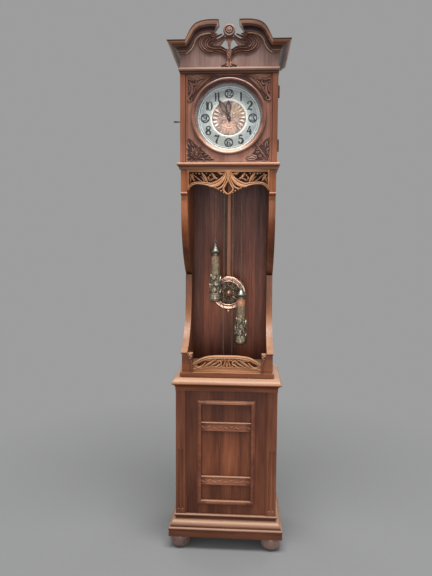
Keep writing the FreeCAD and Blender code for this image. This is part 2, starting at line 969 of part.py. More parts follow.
def tympanum():
    """The board of the pediment, cut to the necks, pierced on both sides of the stem."""
    bead = flipped(neck_curve(1))[::-1]
    rise = bead[-1][1] - frieze_top
    corner = [(hood_half_width, frieze_top), (hood_half_width, cornice_bottom), bead[0]]
    peak = [bead[-1]] + scaled(tympanum_peak_shares, neck_start, rise, 0.0, frieze_top)
    runs = steps(corner) + [bead] + steps(peak + flipped(peak)) + [flipped(bead)]
    runs += steps(flipped(corner)) + [[flipped(corner)[-1], corner[0]]]
    sides = [scaled(run, neck_start, rise, 0.0, frieze_top) for run in tympanum_hole_shares]
    mirror_sides = [flipped(run) for run in sides[::-1]]
    first, last, bow = tympanum_slit_share
    low, high = scaled((first, last), neck_start, rise, 0.0, frieze_top)
    holes = [
        smooth_wire(sides, in_xz),
        smooth_wire(mirror_sides, in_xz),
        leaf_hole(low, high, bow),
        leaf_hole((-high[0], high[1]), (-low[0], low[1]), bow),
    ]
    return prism_y([smooth_wire(runs, in_xz)] + holes, hood_front_y, door_back_y)


rosette_shares = (
    (0, 0), (1.0, 0), (1.0, 0.70, 0.25), (0.70, 0.80), (0.60, 0.60),
    (0.35, 0.70, 0.25), (0.12, 1.0), (0, 1.0),
)


def tympanum_and_rosette():
    """The pediment's board and the turned rosette on its peak."""
    outline = scaled(rosette_shares, rosette_radius, -rosette_depth, 0.0, hood_front_y)
    return [tympanum(), turned_y(outline, (0.0, clock_top - rosette_drop))]


# Door

panel_y = hood_front_y + door_panel_recess
ring_front_y = panel_y - ring_reach
glass_y = ring_front_y + ring_depth
spigot_radius = ring_inner_radius + ring_seat_wall
panel_half_width = hood_half_width - door_stile_width - door_bead_width


def door_frame():
    """The door's board with its stiles, its beads and the round hole for the ring."""
    board = block(-hood_half_width, hood_half_width, panel_y, door_back_y, door_bottom, door_top)
    for side in (-1, 1):
        outer = side * hood_half_width
        inner = outer - side * door_stile_width
        edge = inner - side * door_bead_width
        stile = block(min(outer, inner), max(outer, inner), hood_front_y, panel_y, door_bottom, door_top)
        bead = prism_z(
            [closed_wire([(min(inner, edge), panel_y, -0.5), (max(inner, edge), panel_y)], in_xy)],
            door_bottom,
            door_top,
        )
        board = board.fuse([stile, bead])
    hole = rod_y(centre_at, spigot_radius + seat_clearance, panel_y - overrun, door_back_y + overrun)
    return board.cut(hole)


def door_ring():
    """The turned ring that holds the glass, its spigot in the door's hole."""
    outline = [
        (ring_inner_radius, glass_y),
        (ring_inner_radius, ring_front_y + ring_reach * 0.8, 0.08),
        (ring_outer_radius - ring_reach * 0.56, ring_front_y + ring_reach * 0.12),
        (ring_outer_radius - ring_reach * 0.5, ring_front_y + ring_reach * 0.08, -0.3),
        (ring_outer_radius, ring_front_y + ring_reach * 0.4),
        (ring_outer_radius, panel_y),
        (spigot_radius, panel_y),
        (spigot_radius, glass_y),
    ]
    return turned_y(outline, centre_at)


def door_glass():
    return rod_y(centre_at, spigot_radius, glass_y, glass_y + glass_thickness)


carving_angles = (28.0, 58.0)


def spandrel(side, level):
    """One carved corner plate between the ring and the panel's corner."""
    clear = ring_outer_radius + carving_margin
    first = math.radians(carving_angles[0])
    last = math.radians(carving_angles[1])
    bow = math.tan((last - first) / 4) / 2
    wide = panel_half_width - carving_margin
    high = (door_top - dial_z if level > 0 else dial_z - door_bottom) - carving_margin
    outline = [
        (wide, high),
        (wide, clear * math.sin(first)),
        (clear * math.cos(first), clear * math.sin(first), -bow),
        (clear * math.cos(last), clear * math.sin(last)),
        (clear * math.cos(last), high),
    ]
    points = [(side * p[0], dial_z + level * p[1]) + tuple(side * level * b for b in p[2:]) for p in outline]
    return prism_y([closed_wire(points, in_xz)], panel_y - carving_thickness, panel_y)


def door_spandrels():
    return [spandrel(side, level) for level in (1, -1) for side in (-1, 1)]


# Hinges and lock

hinge_axis_x = hood_half_width + hinge_knuckle_radius + hinge_leaf_thickness / 2
hinge_axis_y = door_back_y + running_clearance / 2
hinge_levels = (door_top - hinge_top_drop - hinge_height, door_bottom + hinge_low_rise)


def hinge_knuckle(low, high):
    return rod_z(hinge_axis_x, hinge_axis_y, hinge_knuckle_radius, low, high)


def hinge_leaf(near_y, far_y, low, high):
    """A leaf on the side face of the door or the case."""
    return block(hood_half_width, hood_half_width + hinge_leaf_thickness, near_y, far_y, low, high)


def hinge_notch(low, high):
    """The space that the other half's knuckle turns in."""
    reach = hinge_knuckle_radius + running_clearance
    return block(
        hood_half_width - overrun, hinge_axis_x, hinge_axis_y - reach, hinge_axis_y + reach, low, high
    )


def fixed_hinge(low):
    """The half on the case: two outer knuckles, the pin and its leaf."""
    third = hinge_height / 3
    high = low + hinge_height
    knuckles = [hinge_knuckle(low, low + third), hinge_knuckle(high - third, high)]
    knobs = [Part.makeSphere(hinge_knob_radius, V(hinge_axis_x, hinge_axis_y, z)) for z in (low, high)]
    pin = rod_z(hinge_axis_x, hinge_axis_y, hinge_pin_radius, low, high)
    leaf = hinge_leaf(hinge_axis_y, hinge_axis_y + hinge_leaf_width, low, high)
    leaf = leaf.cut(hinge_notch(low + third, high - third))
    return fused([pin, leaf] + knuckles + knobs)


def door_hinge(low):
    """The half on the door: the middle knuckle, bored for the pin, and its leaf."""
    third = hinge_height / 3
    high = low + hinge_height
    bottom = low + third + running_clearance
    top = high - third - running_clearance
    leaf = hinge_leaf(hinge_axis_y - hinge_leaf_width, hinge_axis_y, low, high)
    leaf = leaf.cut([hinge_notch(low - overrun, bottom), hinge_notch(top, high + overrun)])
    bore = rod_z(hinge_axis_x, hinge_axis_y, hinge_pin_radius + pivot_clearance, low, high)
    return fused([hinge_knuckle(bottom, top), leaf]).cut(bore)


lock_y = door_back_y + lock_setback
lock_low = key_z - lock_height / 2
lock_top = key_z + lock_height / 2
bolt_x = -hood_inner + lock_thickness / 2
bolt_y = lock_y + bolt_setback
bolt_rest_top = lock_top + staple_gap / 2


def door_staple():
    """The eye plate behind the door that the bolt rises through."""
    half = bolt_thickness / 2 + staple_margin
    end = bolt_y + bolt_width + staple_margin
    low = lock_top + staple_gap
    plate = block(bolt_x - half, bolt_x + half, door_back_y, end, low, low + staple_thickness)
    gap = running_clearance * 2
    eye = block(
        bolt_x - bolt_thickness / 2 - gap,
        bolt_x + bolt_thickness / 2 + gap,
        bolt_y - gap,
        bolt_y + bolt_width + gap,
        low - overrun,
        low + staple_thickness + overrun,
    )
    return plate.cut(eye)


def lock_case():
    """The iron case of the lock, open on top for the bolt and at the side for the key."""
    x0 = -hood_inner
    x1 = x0 + lock_thickness
    case = block(x0, x1, lock_y, lock_y + lock_depth, lock_low, lock_top)
    hollow = block(
        x0 + lock_wall,
        x1 - lock_wall,
        lock_y + lock_wall,
        lock_y + lock_depth - lock_wall,
        lock_low + lock_wall,
        lock_top - lock_wall,
    )
    slot = block(
        bolt_x - bolt_thickness / 2 - running_clearance,
        bolt_x + bolt_thickness / 2 + running_clearance,
        bolt_y - running_clearance,
        bolt_y + bolt_width + running_clearance,
        lock_top - lock_wall - overrun,
        lock_top + overrun,
    )
    mouth = V(x0 - overrun, key_at_y, key_z)
    keyhole = Part.makeCylinder(key_shank_radius + running_clearance, lock_wall + overrun * 2, mouth, ALONG_X)
    return case.cut(hollow).cut(slot).cut(keyhole)


def lock_bolt():
    return block(
        bolt_x - bolt_thickness / 2,
        bolt_x + bolt_thickness / 2,
        bolt_y,
        bolt_y + bolt_width,
        bolt_rest_top - bolt_length,
        bolt_rest_top,
    )


def lock_key():
    """The key in the left side: its ring, its shank and its bit inside the case."""
    tip = -hood_inner + lock_thickness - lock_wall - running_clearance
    bow_x = -hood_half_width - key_reach + key_bow_radius + key_bow_wire
    outer = bow_x + key_bow_radius
    shank = Part.makeCylinder(key_shank_radius, tip - outer, V(outer, key_at_y, key_z), ALONG_X)
    bow = Part.makeTorus(key_bow_radius, key_bow_wire, V(bow_x, key_at_y, key_z), ALONG_Z)
    bit = block(
        tip - key_bit_length,
        tip,
        key_at_y - key_shank_radius / 2,
        key_at_y + key_shank_radius / 2,
        key_z - key_shank_radius - key_bit_depth,
        key_z,
    )
    return fused([shank, bow, bit])


# Seatboard and movement plates

def seatboard():
    """The board that carries the movement, with slots for the chains and the pendulum."""
    board = block(
        -hood_inner + seat_clearance,
        hood_inner - seat_clearance,
        plate_y - seatboard_thickness / 2,
        backboard_y,
        seatboard_bottom,
        seatboard_top,
    )
    low = seatboard_bottom - overrun
    high = seatboard_top + overrun
    half = chain_wheel_radius + chain_slot_margin
    for x in (-chain_wheel_spacing, chain_wheel_spacing):
        board = board.cut(
            block(x - half, x + half, chain_y - chain_slot_margin, chain_y + chain_slot_margin, low, high)
        )
    return board.cut(
        block(
            -rod_slot_half_width,
            rod_slot_half_width,
            back_plate_y + plate_thickness + chain_slot_margin / 2,
            pendulum_y + chain_slot_margin * 2,
            low,
            high,
        )
    )


def drilled(plate, holes):
    """The plate with a hole at each place, given as (place, radius)."""
    for at, radius in holes:
        plate = plate.cut(rod_y(at, radius + pivot_clearance, plate_y - overrun, gongs_y + overrun))
    return plate


gongs_y = front_y + gong_depth
pivot_places = [going_at, strike_at, third_at, escape_at, pin_wheel_at, fly_at]
plate_top = dial_z + plate_top_rise


def movement_plate(y, holes):
    plate = block(
        -plate_half_width, plate_half_width, y, y + plate_thickness, seatboard_top, plate_top
    )
    return drilled(plate, holes)


def front_plate():
    """The front plate with the stud of the minute wheel."""
    holes = [(at, pivot_radius) for at in pivot_places + [anchor_at, hammer_at]]
    plate = movement_plate(plate_y, holes + [(centre_at, arbor_radius)])
    stud_end = plate_y - hour_wheel_layer - wheel_thickness * 2
    return plate.fuse(rod_y(minute_wheel_at, pivot_radius, stud_end, plate_y + plate_thickness / 2))


def back_plate():
    """The back plate, and the cock that carries the pendulum's spring."""
    holes = [(at, pivot_radius) for at in pivot_places + [centre_at]]
    holes += [(anchor_at, arbor_radius), (hammer_at, arbor_radius)]
    plate = movement_plate(back_plate_y, holes)
    low = anchor_at[1] + 2 * running_clearance
    arm_low = anchor_at[1] + arbor_radius * 2
    chop_y = pendulum_y - cock_wall / 2
    arm = block(
        -cock_width / 2,
        cock_width / 2,
        back_plate_y + plate_thickness,
        pendulum_y + cock_wall / 2,
        arm_low,
        arm_low + cock_height,
    )
    chop = block(-cock_width / 2, cock_width / 2, chop_y, pendulum_y + cock_wall / 2, low, arm_low)
    return [plate, arm.fuse(chop)]


def plate_pillars():
    side = plate_half_width - pillar_inset
    levels = (seatboard_top + pillar_inset, plate_top - pillar_inset)
    return [rod_y((x, z), pillar_radius, gap_y, back_plate_y) for z in levels for x in (-side, side)]


# Wheels

addendum_share = 0.8
dedendum_share = 1.25
tooth_root_share = 0.20
tooth_tip_share = 0.07
crossing_count = 5
crossing_share = 0.38


def toward(at, other):
    """The direction from one arbor to another, in degrees from X towards Z."""
    return math.degrees(math.atan2(other[1] - at[1], other[0] - at[0]))


def polar(at, radius, degrees):
    angle = math.radians(degrees)
    return (at[0] + radius * math.cos(angle), at[1] + radius * math.sin(angle))


def toothed(at, teeth, module, phase, y, thickness, holes=()):
    """A toothed disc centred on the plane y; phase is the direction of one tooth's middle."""
    pitch = 360.0 / teeth
    root = module * (teeth / 2 - dedendum_share)
    tip = module * (teeth / 2 + addendum_share)
    points = []
    for tooth in range(teeth):
        middle = phase + tooth * pitch
        points.append(polar(at, root, middle - tooth_root_share * pitch))
        points.append(polar(at, tip, middle - tooth_tip_share * pitch))
        points.append(polar(at, tip, middle + tooth_tip_share * pitch))
        points.append(polar(at, root, middle + tooth_root_share * pitch))
    wires = [closed_wire(points, in_xz)] + list(holes)
    return prism_y(wires, y - thickness / 2, y + thickness / 2)


def round_hole(at, radius):
    return Part.Wire(Part.makeCircle(radius, V(at[0], 0, at[1]), ALONG_Y))


def crossings(at, root_radius, hub_radius):
    """Round windows between a wheel's hub and its rim."""
    middle = (root_radius + hub_radius) / 2
    between_centres = 2 * middle * math.sin(math.pi / crossing_count)
    radius = min(root_radius - hub_radius, between_centres) * crossing_share
    angles = [90.0 + 360.0 / crossing_count * k for k in range(crossing_count)]
    return [round_hole(polar(at, middle, angle), radius) for angle in angles]


def gear(at, teeth, module, partner, meets_tooth, y, thickness=wheel_thickness, crossed=True, bore=0.0):
    """A wheel or pinion whose tooth, or gap, faces its partner."""
    phase = toward(at, partner)
    if not meets_tooth:
        phase += 180.0 / teeth
    holes = crossings(at, module * (teeth / 2 - dedendum_share * 2), arbor_radius * 2) if crossed else []
    if bore:
        holes = holes + [round_hole(at, bore)]
    return toothed(at, teeth, module, phase, y, thickness, holes)


def arbor(at):
    """A steel arbor between the plates, with a pivot in each."""
    body = rod_y(at, arbor_radius, gap_y + running_clearance, back_plate_y - running_clearance)
    pivots = rod_y(at, pivot_radius, plate_y, back_plate_y + plate_thickness)
    return body.fuse(pivots)


def layer(depth):
    return gap_y + depth


def pinion(at, module, partner, depth):
    return gear(
        at, pinion_teeth, module, partner, False, layer(depth), thickness=pinion_length, crossed=False
    )


def great_wheel(at, teeth, partner):
    wheel = gear(at, teeth, going_module, partner, True, layer(great_layer))
    return fused([arbor(at), wheel])


def chain_wheel(at):
    """A grooved wheel, loose on the great wheel's arbor, that the chain hangs over."""
    flange = chain_wheel_radius + chain_flange_reach
    groove = chain_wheel_radius - chain_radius - running_clearance
    half = chain_wheel_width / 2
    half_groove = chain_radius + running_clearance
    bore = arbor_radius + pivot_clearance
    outline = [
        (bore, chain_y - half),
        (flange, chain_y - half),
        (flange, chain_y - half_groove),
        (groove, chain_y - half_groove),
        (groove, chain_y + half_groove),
        (flange, chain_y + half_groove),
        (flange, chain_y + half),
        (bore, chain_y + half),
    ]
    return turned_y(outline, at)


def centre_wheel():
    """The centre arbor, its pinion and wheel, and the cannon that turns the minute wheel."""
    wheel = gear(centre_at, centre_teeth, centre_module, third_at, True, layer(centre_layer))
    leaf = pinion(centre_at, going_module, going_at, great_layer)
    front = dial_y - minute_hand_lift - hand_thickness - hand_nut_height
    long_arbor = rod_y(centre_at, arbor_radius, front, back_plate_y - running_clearance)
    pivot = rod_y(centre_at, pivot_radius, back_plate_y - overrun, back_plate_y + plate_thickness)
    return fused([long_arbor, pivot, wheel, leaf])


def cannon_wheel():
    """The pipe that carries the minute hand, with its pinion."""
    leaf = gear(
        centre_at,
        cannon_teeth,
        motion_module,
        minute_wheel_at,
        True,
        plate_y - minute_wheel_layer,
        thickness=pinion_length - wheel_thickness,
        crossed=False,
        bore=arbor_radius,
    )
    front = dial_y - minute_hand_lift - hand_thickness
    pipe = rod_y(centre_at, cannon_pipe_radius, front, plate_y - minute_wheel_layer)
    return leaf.fuse(pipe.cut(rod_y(centre_at, arbor_radius, front - overrun, plate_y)))


def third_wheel():
    wheel = gear(third_at, third_teeth, third_module, escape_at, True, layer(third_layer))
    leaf = pinion(third_at, centre_module, centre_at, centre_layer)
    return fused([arbor(third_at), wheel, leaf])


def escape_wheel():
    """The escape wheel with its pointed teeth."""
    pitch = 360.0 / escape_teeth
    points = []
    for tooth in range(escape_teeth):
        points.append(polar(escape_at, escape_radius - escape_tooth_depth, tooth * pitch))
        points.append(polar(escape_at, escape_radius, (tooth + 0.5) * pitch))
    holes = crossings(escape_at, escape_radius - escape_tooth_depth * 1.2, arbor_radius * 2)
    y = layer(escape_layer)
    wheel = prism_y([closed_wire(points, in_xz)] + holes, y - wheel_thickness / 2, y + wheel_thickness / 2)
    return fused([arbor(escape_at), wheel, pinion(escape_at, third_module, third_at, third_layer)])


anchor_end_angles = (15.0, 165.0)


def pallet_anchor():
    """The anchor over the escape wheel, its arbor and the crutch that drives the pendulum."""
    inner = escape_radius + anchor_clearance
    outer = inner + anchor_band
    ends = anchor_end_angles
    bow = math.tan(math.radians(ends[1] - ends[0]) / 4) / 2
    outline = [
        polar(escape_at, outer, ends[0]) + (-bow,),
        polar(escape_at, outer, ends[1]),
        polar(escape_at, inner, ends[1]) + (bow,),
        polar(escape_at, inner, ends[0]),
    ]
    y = layer(escape_layer)
    band = prism_y([closed_wire(outline, in_xz)], y - anchor_thickness / 2, y + anchor_thickness / 2)
    hub = rod_y(anchor_at, anchor_hub_radius, y - anchor_thickness / 2, y + anchor_thickness / 2)
    arm_y = back_plate_y + plate_thickness + layer_step
    staff = rod_y(anchor_at, arbor_radius, gap_y + running_clearance, arm_y + crutch_thickness)
    pivot = rod_y(anchor_at, pivot_radius, plate_y, gap_y + overrun)
    low = anchor_at[1] - crutch_length
    arm = block(-crutch_width / 2, crutch_width / 2, arm_y, arm_y + crutch_thickness, low, anchor_at[1])
    gap = rod_half_width(low) + running_clearance
    spread = gap + crutch_prong_width
    bar = block(-spread, spread, arm_y, arm_y + crutch_thickness, low, low + crutch_width)
    prongs = [
        block(
            min(side * gap, side * spread),
            max(side * gap, side * spread),
            arm_y,
            arm_y + crutch_thickness + crutch_prong_length,
            low,
            low + crutch_width,
        )
        for side in (-1, 1)
    ]
    return fused([band, hub, staff, pivot, arm, bar] + prongs)


def pin_wheel():
    """The strike's second wheel, with the pins that lift the hammer."""
    wheel = gear(pin_wheel_at, centre_teeth, centre_module, fly_at, True, layer(centre_layer))
    leaf = pinion(pin_wheel_at, going_module, strike_at, great_layer)
    pins = []
    for k in range(strike_pins):
        place = polar(pin_wheel_at, pin_circle_radius, 360.0 / strike_pins * (k + 0.5))
        y = layer(centre_layer)
        pins.append(rod_y(place, pin_radius, y, y + wheel_thickness / 2 + pin_length))
    return fused([arbor(pin_wheel_at), wheel, leaf] + pins)


def strike_fly():
    """The air brake of the strike."""
    y0 = layer(third_layer)
    vane = block(
        fly_at[0] - fly_radius,
        fly_at[0] + fly_radius,
        y0,
        y0 + fly_width,
        fly_at[1] - fly_thickness / 2,
        fly_at[1] + fly_thickness / 2,
    )
    return fused([arbor(fly_at), pinion(fly_at, centre_module, pin_wheel_at, centre_layer), vane])


def minute_wheel():
    """The wheel and pinion on the stud, between the cannon and the hour wheel."""
    bore = pivot_radius + pivot_clearance
    y = plate_y - minute_wheel_layer
    wheel = gear(
        minute_wheel_at, minute_wheel_teeth, motion_module, centre_at, False, y, bore=bore
    )
    length = hour_wheel_layer - minute_wheel_layer
    leaf = gear(
        minute_wheel_at,
        minute_pinion_teeth,
        motion_module,
        centre_at,
        True,
        y - wheel_thickness / 2 - length / 2,
        thickness=length,
        crossed=False,
        bore=bore,
    )
    return wheel.fuse(leaf)


def hour_wheel():
    """The hour wheel and the pipe that carries the hour hand."""
    bore = cannon_pipe_radius + pivot_clearance
    y = plate_y - hour_wheel_layer
    wheel = gear(
        centre_at, hour_wheel_teeth, motion_module, minute_wheel_at, False, y, crossed=False, bore=bore
    )
    front = dial_y - hour_hand_lift - hand_thickness
    pipe = rod_y(centre_at, hour_pipe_radius, front, y)
    pipe = pipe.cut(rod_y(centre_at, bore, front - overrun, y + overrun))
    return wheel.fuse(pipe)


# Hammer and gong

half_turn_points = 12


def gong():
    """A flat coil of round wire in half turns, with its iron stand on the backboard."""
    z = dial_z + gong_rise
    x = gong_side + gong_radius
    edges = []
    for half_turn in range(2 * gong_turns):
        radius = gong_radius - half_turn * gong_pitch / 2
        side = 1 if half_turn % 2 == 0 else -1
        middle = x - side * radius
        top = V(middle, gongs_y, z + side * radius)
        end = V(middle - side * radius, gongs_y, z)
        edges.append(Part.Arc(V(x, gongs_y, z), top, end).toShape())
        x = middle - side * radius
    lead = 2 * gong_wire_radius
    edges.append(Part.LineSegment(V(x, gongs_y, z), V(x, gongs_y, z + lead)).toShape())
    start = V(gong_side + gong_radius, gongs_y, z)
    section = Part.Wire(Part.makeCircle(gong_wire_radius, start, ALONG_Z))
    coil = Part.Wire(edges).makePipeShell([section], True, False)
    length = sum(edge.Length for edge in edges)
    full = math.pi * gong_wire_radius ** 2 * length
    print("gong coil", round(coil.Volume / full, 4), "of section by length")
    print("gong coil least gap to itself", round(coil_gap(edges[:-1]), 2))
    stand = block(
        x - gong_stand_radius,
        x + gong_wire_radius,
        gongs_y - gong_wire_radius * 2,
        backboard_y,
        z + lead,
        z + lead + gong_pitch,
    )
    return [coil, stand]


def coil_gap(edges):
    """The least distance between turns, measured on points along the coil."""
    points = [point for edge in edges for point in edge.discretize(half_turn_points + 1)[:-1]]
    near = half_turn_points * 3 // 2
    apart = [(a - b).Length for i, a in enumerate(points) for b in points[i + near:]]
    return min(apart) - 2 * gong_wire_radius


def hammer():
    """The hammer beside the gong, its arm, its arbor and the tail that the pins lift."""
    head_x = gong_side - gong_radius - gong_wire_radius - hammer_gap - hammer_head_length
    head_z = dial_z + gong_rise
    head = Part.makeCylinder(hammer_head_radius, hammer_head_length, V(head_x, gongs_y, head_z), ALONG_X)
    foot = V(hammer_at[0], gongs_y, hammer_at[1])
    reach = V(head_x + hammer_head_length / 2, gongs_y, head_z) - foot
    arm = Part.makeCylinder(hammer_arm_radius, reach.Length, foot, reach)
    staff = rod_y(hammer_at, arbor_radius, gap_y + running_clearance, gongs_y + hammer_arm_radius)
    pivot = rod_y(hammer_at, pivot_radius, plate_y, gap_y + overrun)
    y = layer(centre_layer) + wheel_thickness / 2 + pin_length / 2
    tail = block(
        hammer_at[0] - hammer_tail_length,
        hammer_at[0],
        y - hammer_tail_thickness / 2,
        y + hammer_tail_thickness / 2,
        hammer_at[1] - hammer_tail_width / 2,
        hammer_at[1] + hammer_tail_width / 2,
    )
    return fused([head, arm, staff, pivot, tail])


# Dial and hands

def dial_plate():
    """The round plate behind the numbers, with its four feet."""
    rear = dial_y + chapter_thickness
    plate = rod_y(centre_at, dial_radius, rear, rear + dial_plate_thickness)
    feet = [
        rod_y((x, dial_z + rise), dial_foot_radius, rear, plate_y)
        for rise in (-dial_foot_rise, dial_foot_rise)
        for x in (-dial_foot_side, dial_foot_side)
    ]
    hole = rod_y(centre_at, dial_hole_radius, rear - overrun, rear + overrun)
    return plate.fuse(feet).cut(hole)


def chapter_ring():
    ring = rod_y(centre_at, dial_radius, dial_y, dial_y + chapter_thickness)
    return ring.cut(rod_y(centre_at, centre_radius, dial_y - overrun, dial_y + overrun))


def dial_centre():
    """The embossed disc inside the chapter ring."""
    rear = dial_y + chapter_thickness
    disc = rod_y(centre_at, centre_radius - seat_clearance, rear - centre_thickness, rear)
    return disc.cut(rod_y(centre_at, dial_hole_radius, dial_y - overrun, dial_y + overrun))


hand_shares = ((-0.05, 0.0), (-0.035, 0.30), (-0.10, 0.50), (-0.03, 0.72), (0.0, 1.0))


def hand(length, y, bore, angle):
    """A hand that points up and is then turned clockwise by the angle."""
    left = scaled(hand_shares, length, length, 0.0, dial_z)
    blade = prism_y([closed_wire(left + flipped(left)[1:], in_xz)], y, y + hand_thickness)
    hub = rod_y(centre_at, bore * 2, y, y + hand_thickness)
    tail = block(
        -hand_thickness, hand_thickness, y, y + hand_thickness, dial_z - hand_tail, dial_z
    )
    shape = fused([blade, hub, tail]).cut(rod_y(centre_at, bore, y - overrun, y + overrun))
    shape.rotate(V(0, 0, dial_z), ALONG_Y, angle)
    return shape


def minute_hand():
    """The minute hand and the nut that holds it."""
    y = dial_y - minute_hand_lift - hand_thickness
    nut = rod_y(centre_at, hand_nut_radius, y - hand_nut_height, y)
    nut = nut.cut(rod_y(centre_at, arbor_radius, y - overrun, y + overrun))
    return [hand(minute_hand_length, y, cannon_pipe_radius, minute_angle * minutes_shown), nut]


def hour_hand():
    y = dial_y - hour_hand_lift - hand_thickness
    return hand(hour_hand_length, y, hour_pipe_radius, hour_angle * (hours_shown + minutes_shown / 60.0))


# Pendulum

bob_z = anchor_at[1] - pendulum_length
rod_top = anchor_at[1] - suspension_length
rod_end = bob_z - bob_radius * 0.75
bob_low = bob_z - bob_radius


def rod_half_width(z):
    """Half the pendulum rod's width at a level."""
    share = (rod_top - z) / (rod_top - rod_end)
    return (rod_top_width + (rod_low_width - rod_top_width) * share) / 2


def pendulum_rod():
    """The wooden rod with its steel spring above and its screw below."""
    top = rod_top_width / 2
    low = rod_low_width / 2
    outline = closed_wire([(-top, rod_top), (top, rod_top), (low, rod_end), (-low, rod_end)], in_xz)
    half = rod_thickness / 2
    wood = prism_y([outline], pendulum_y - half, pendulum_y + half)
    spring = block(
        -suspension_width / 2,
        suspension_width / 2,
        pendulum_y - suspension_thickness / 2,
        pendulum_y + suspension_thickness / 2,
        rod_top,
        anchor_at[1],
    )
    screw = rod_z(0, pendulum_y, screw_radius, bob_low - screw_length, rod_end)
    return [wood, spring, screw]


def pendulum_bob():
    """The bob with its rims and boss, slotted for the rod, and the rating nut under it."""
    half = bob_thickness / 2
    web = bob_web_thickness / 2
    rim_inner = bob_radius - bob_rim_width
    second_inner = bob_inner_rim_radius - bob_inner_rim_width
    step = half * 0.75
    front = [
        (0, -half),
        (bob_boss_radius, -web),
        (second_inner, -web),
        (second_inner, -step, 0.4),
        (bob_inner_rim_radius, -step),
        (bob_inner_rim_radius, -web),
        (rim_inner, -web),
        (rim_inner, -step, 0.35),
        (bob_radius, -step / 2),
    ]
    rear = [(r, -y) + tuple(rest) for r, y, *rest in front[::-1]]
    rear[0] = (bob_radius, step / 2, 0.35)
    rear[1] = (rim_inner, step)
    rear[4] = (bob_inner_rim_radius, step, 0.4)
    rear[5] = (second_inner, step)
    outline = [(p[0], pendulum_y + p[1]) + tuple(-b for b in p[2:]) for p in front + rear]
    bob = turned_y(outline, (0.0, bob_z))
    gap = seat_clearance
    slot = block(
        -rod_low_width / 2 - gap,
        rod_low_width / 2 + gap,
        pendulum_y - rod_thickness / 2 - gap,
        pendulum_y + rod_thickness / 2 + gap,
        rod_end - gap,
        bob_z + bob_radius + overrun,
    )
    bore = rod_z(0, pendulum_y, screw_radius + gap, bob_low - overrun, rod_end)
    nut_low = bob_low - seat_clearance - rating_nut_height
    nut = rod_z(0, pendulum_y, rating_nut_radius, nut_low, nut_low + rating_nut_height)
    nut = nut.cut(rod_z(0, pendulum_y, screw_radius, nut_low - overrun, bob_low))
    return [bob.cut(slot).cut(bore), nut]


# Weights and chains

weight_shares = (
    (0, 0.0), (0.50, 0.0, -0.2), (0.86, 0.035), (0.92, 0.055), (0.92, 0.115), (0.86, 0.13), (0.78, 0.15),
    (0.78, 0.43, -0.1), (0.68, 0.47), (0.64, 0.50), (0.62, 0.785), (0.50, 0.79), (0.50, 0.815),
    (0.70, 0.835), (0.78, 0.85, -0.3), (0.76, 0.875, 0.14), (0.16, 0.935), (0.15, 0.960),
    (0.064, 0.964), (0.064, 1.0), (0, 1.0),
)


def weight(x, hang):
    """A turned weight shell with its hanging ring."""
    ring_z = chain_z - hang - weight_ring_radius - weight_ring_wire
    top = ring_z - weight_ring_radius
    outline = scaled(weight_shares, weight_radius, weight_length, 0.0, top - weight_length)
    ring = ring_y(V(x, chain_y, ring_z), weight_ring_radius, weight_ring_wire)
    return turned(outline, x, chain_y).fuse(ring)


def chain_side(x, length):
    """One straight hanging side of a chain, from its wheel down."""
    return rod_z(x, chain_y, chain_radius, chain_z - length, chain_z)


def end_ring(x, hang):
    """The ring on the free end of a chain."""
    z = chain_z - (chain_run - hang) - end_ring_radius - end_ring_wire
    return ring_y(V(x, chain_y, z), end_ring_radius, end_ring_wire)


outer_x = chain_wheel_spacing + chain_wheel_radius
inner_x = chain_wheel_spacing - chain_wheel_radius


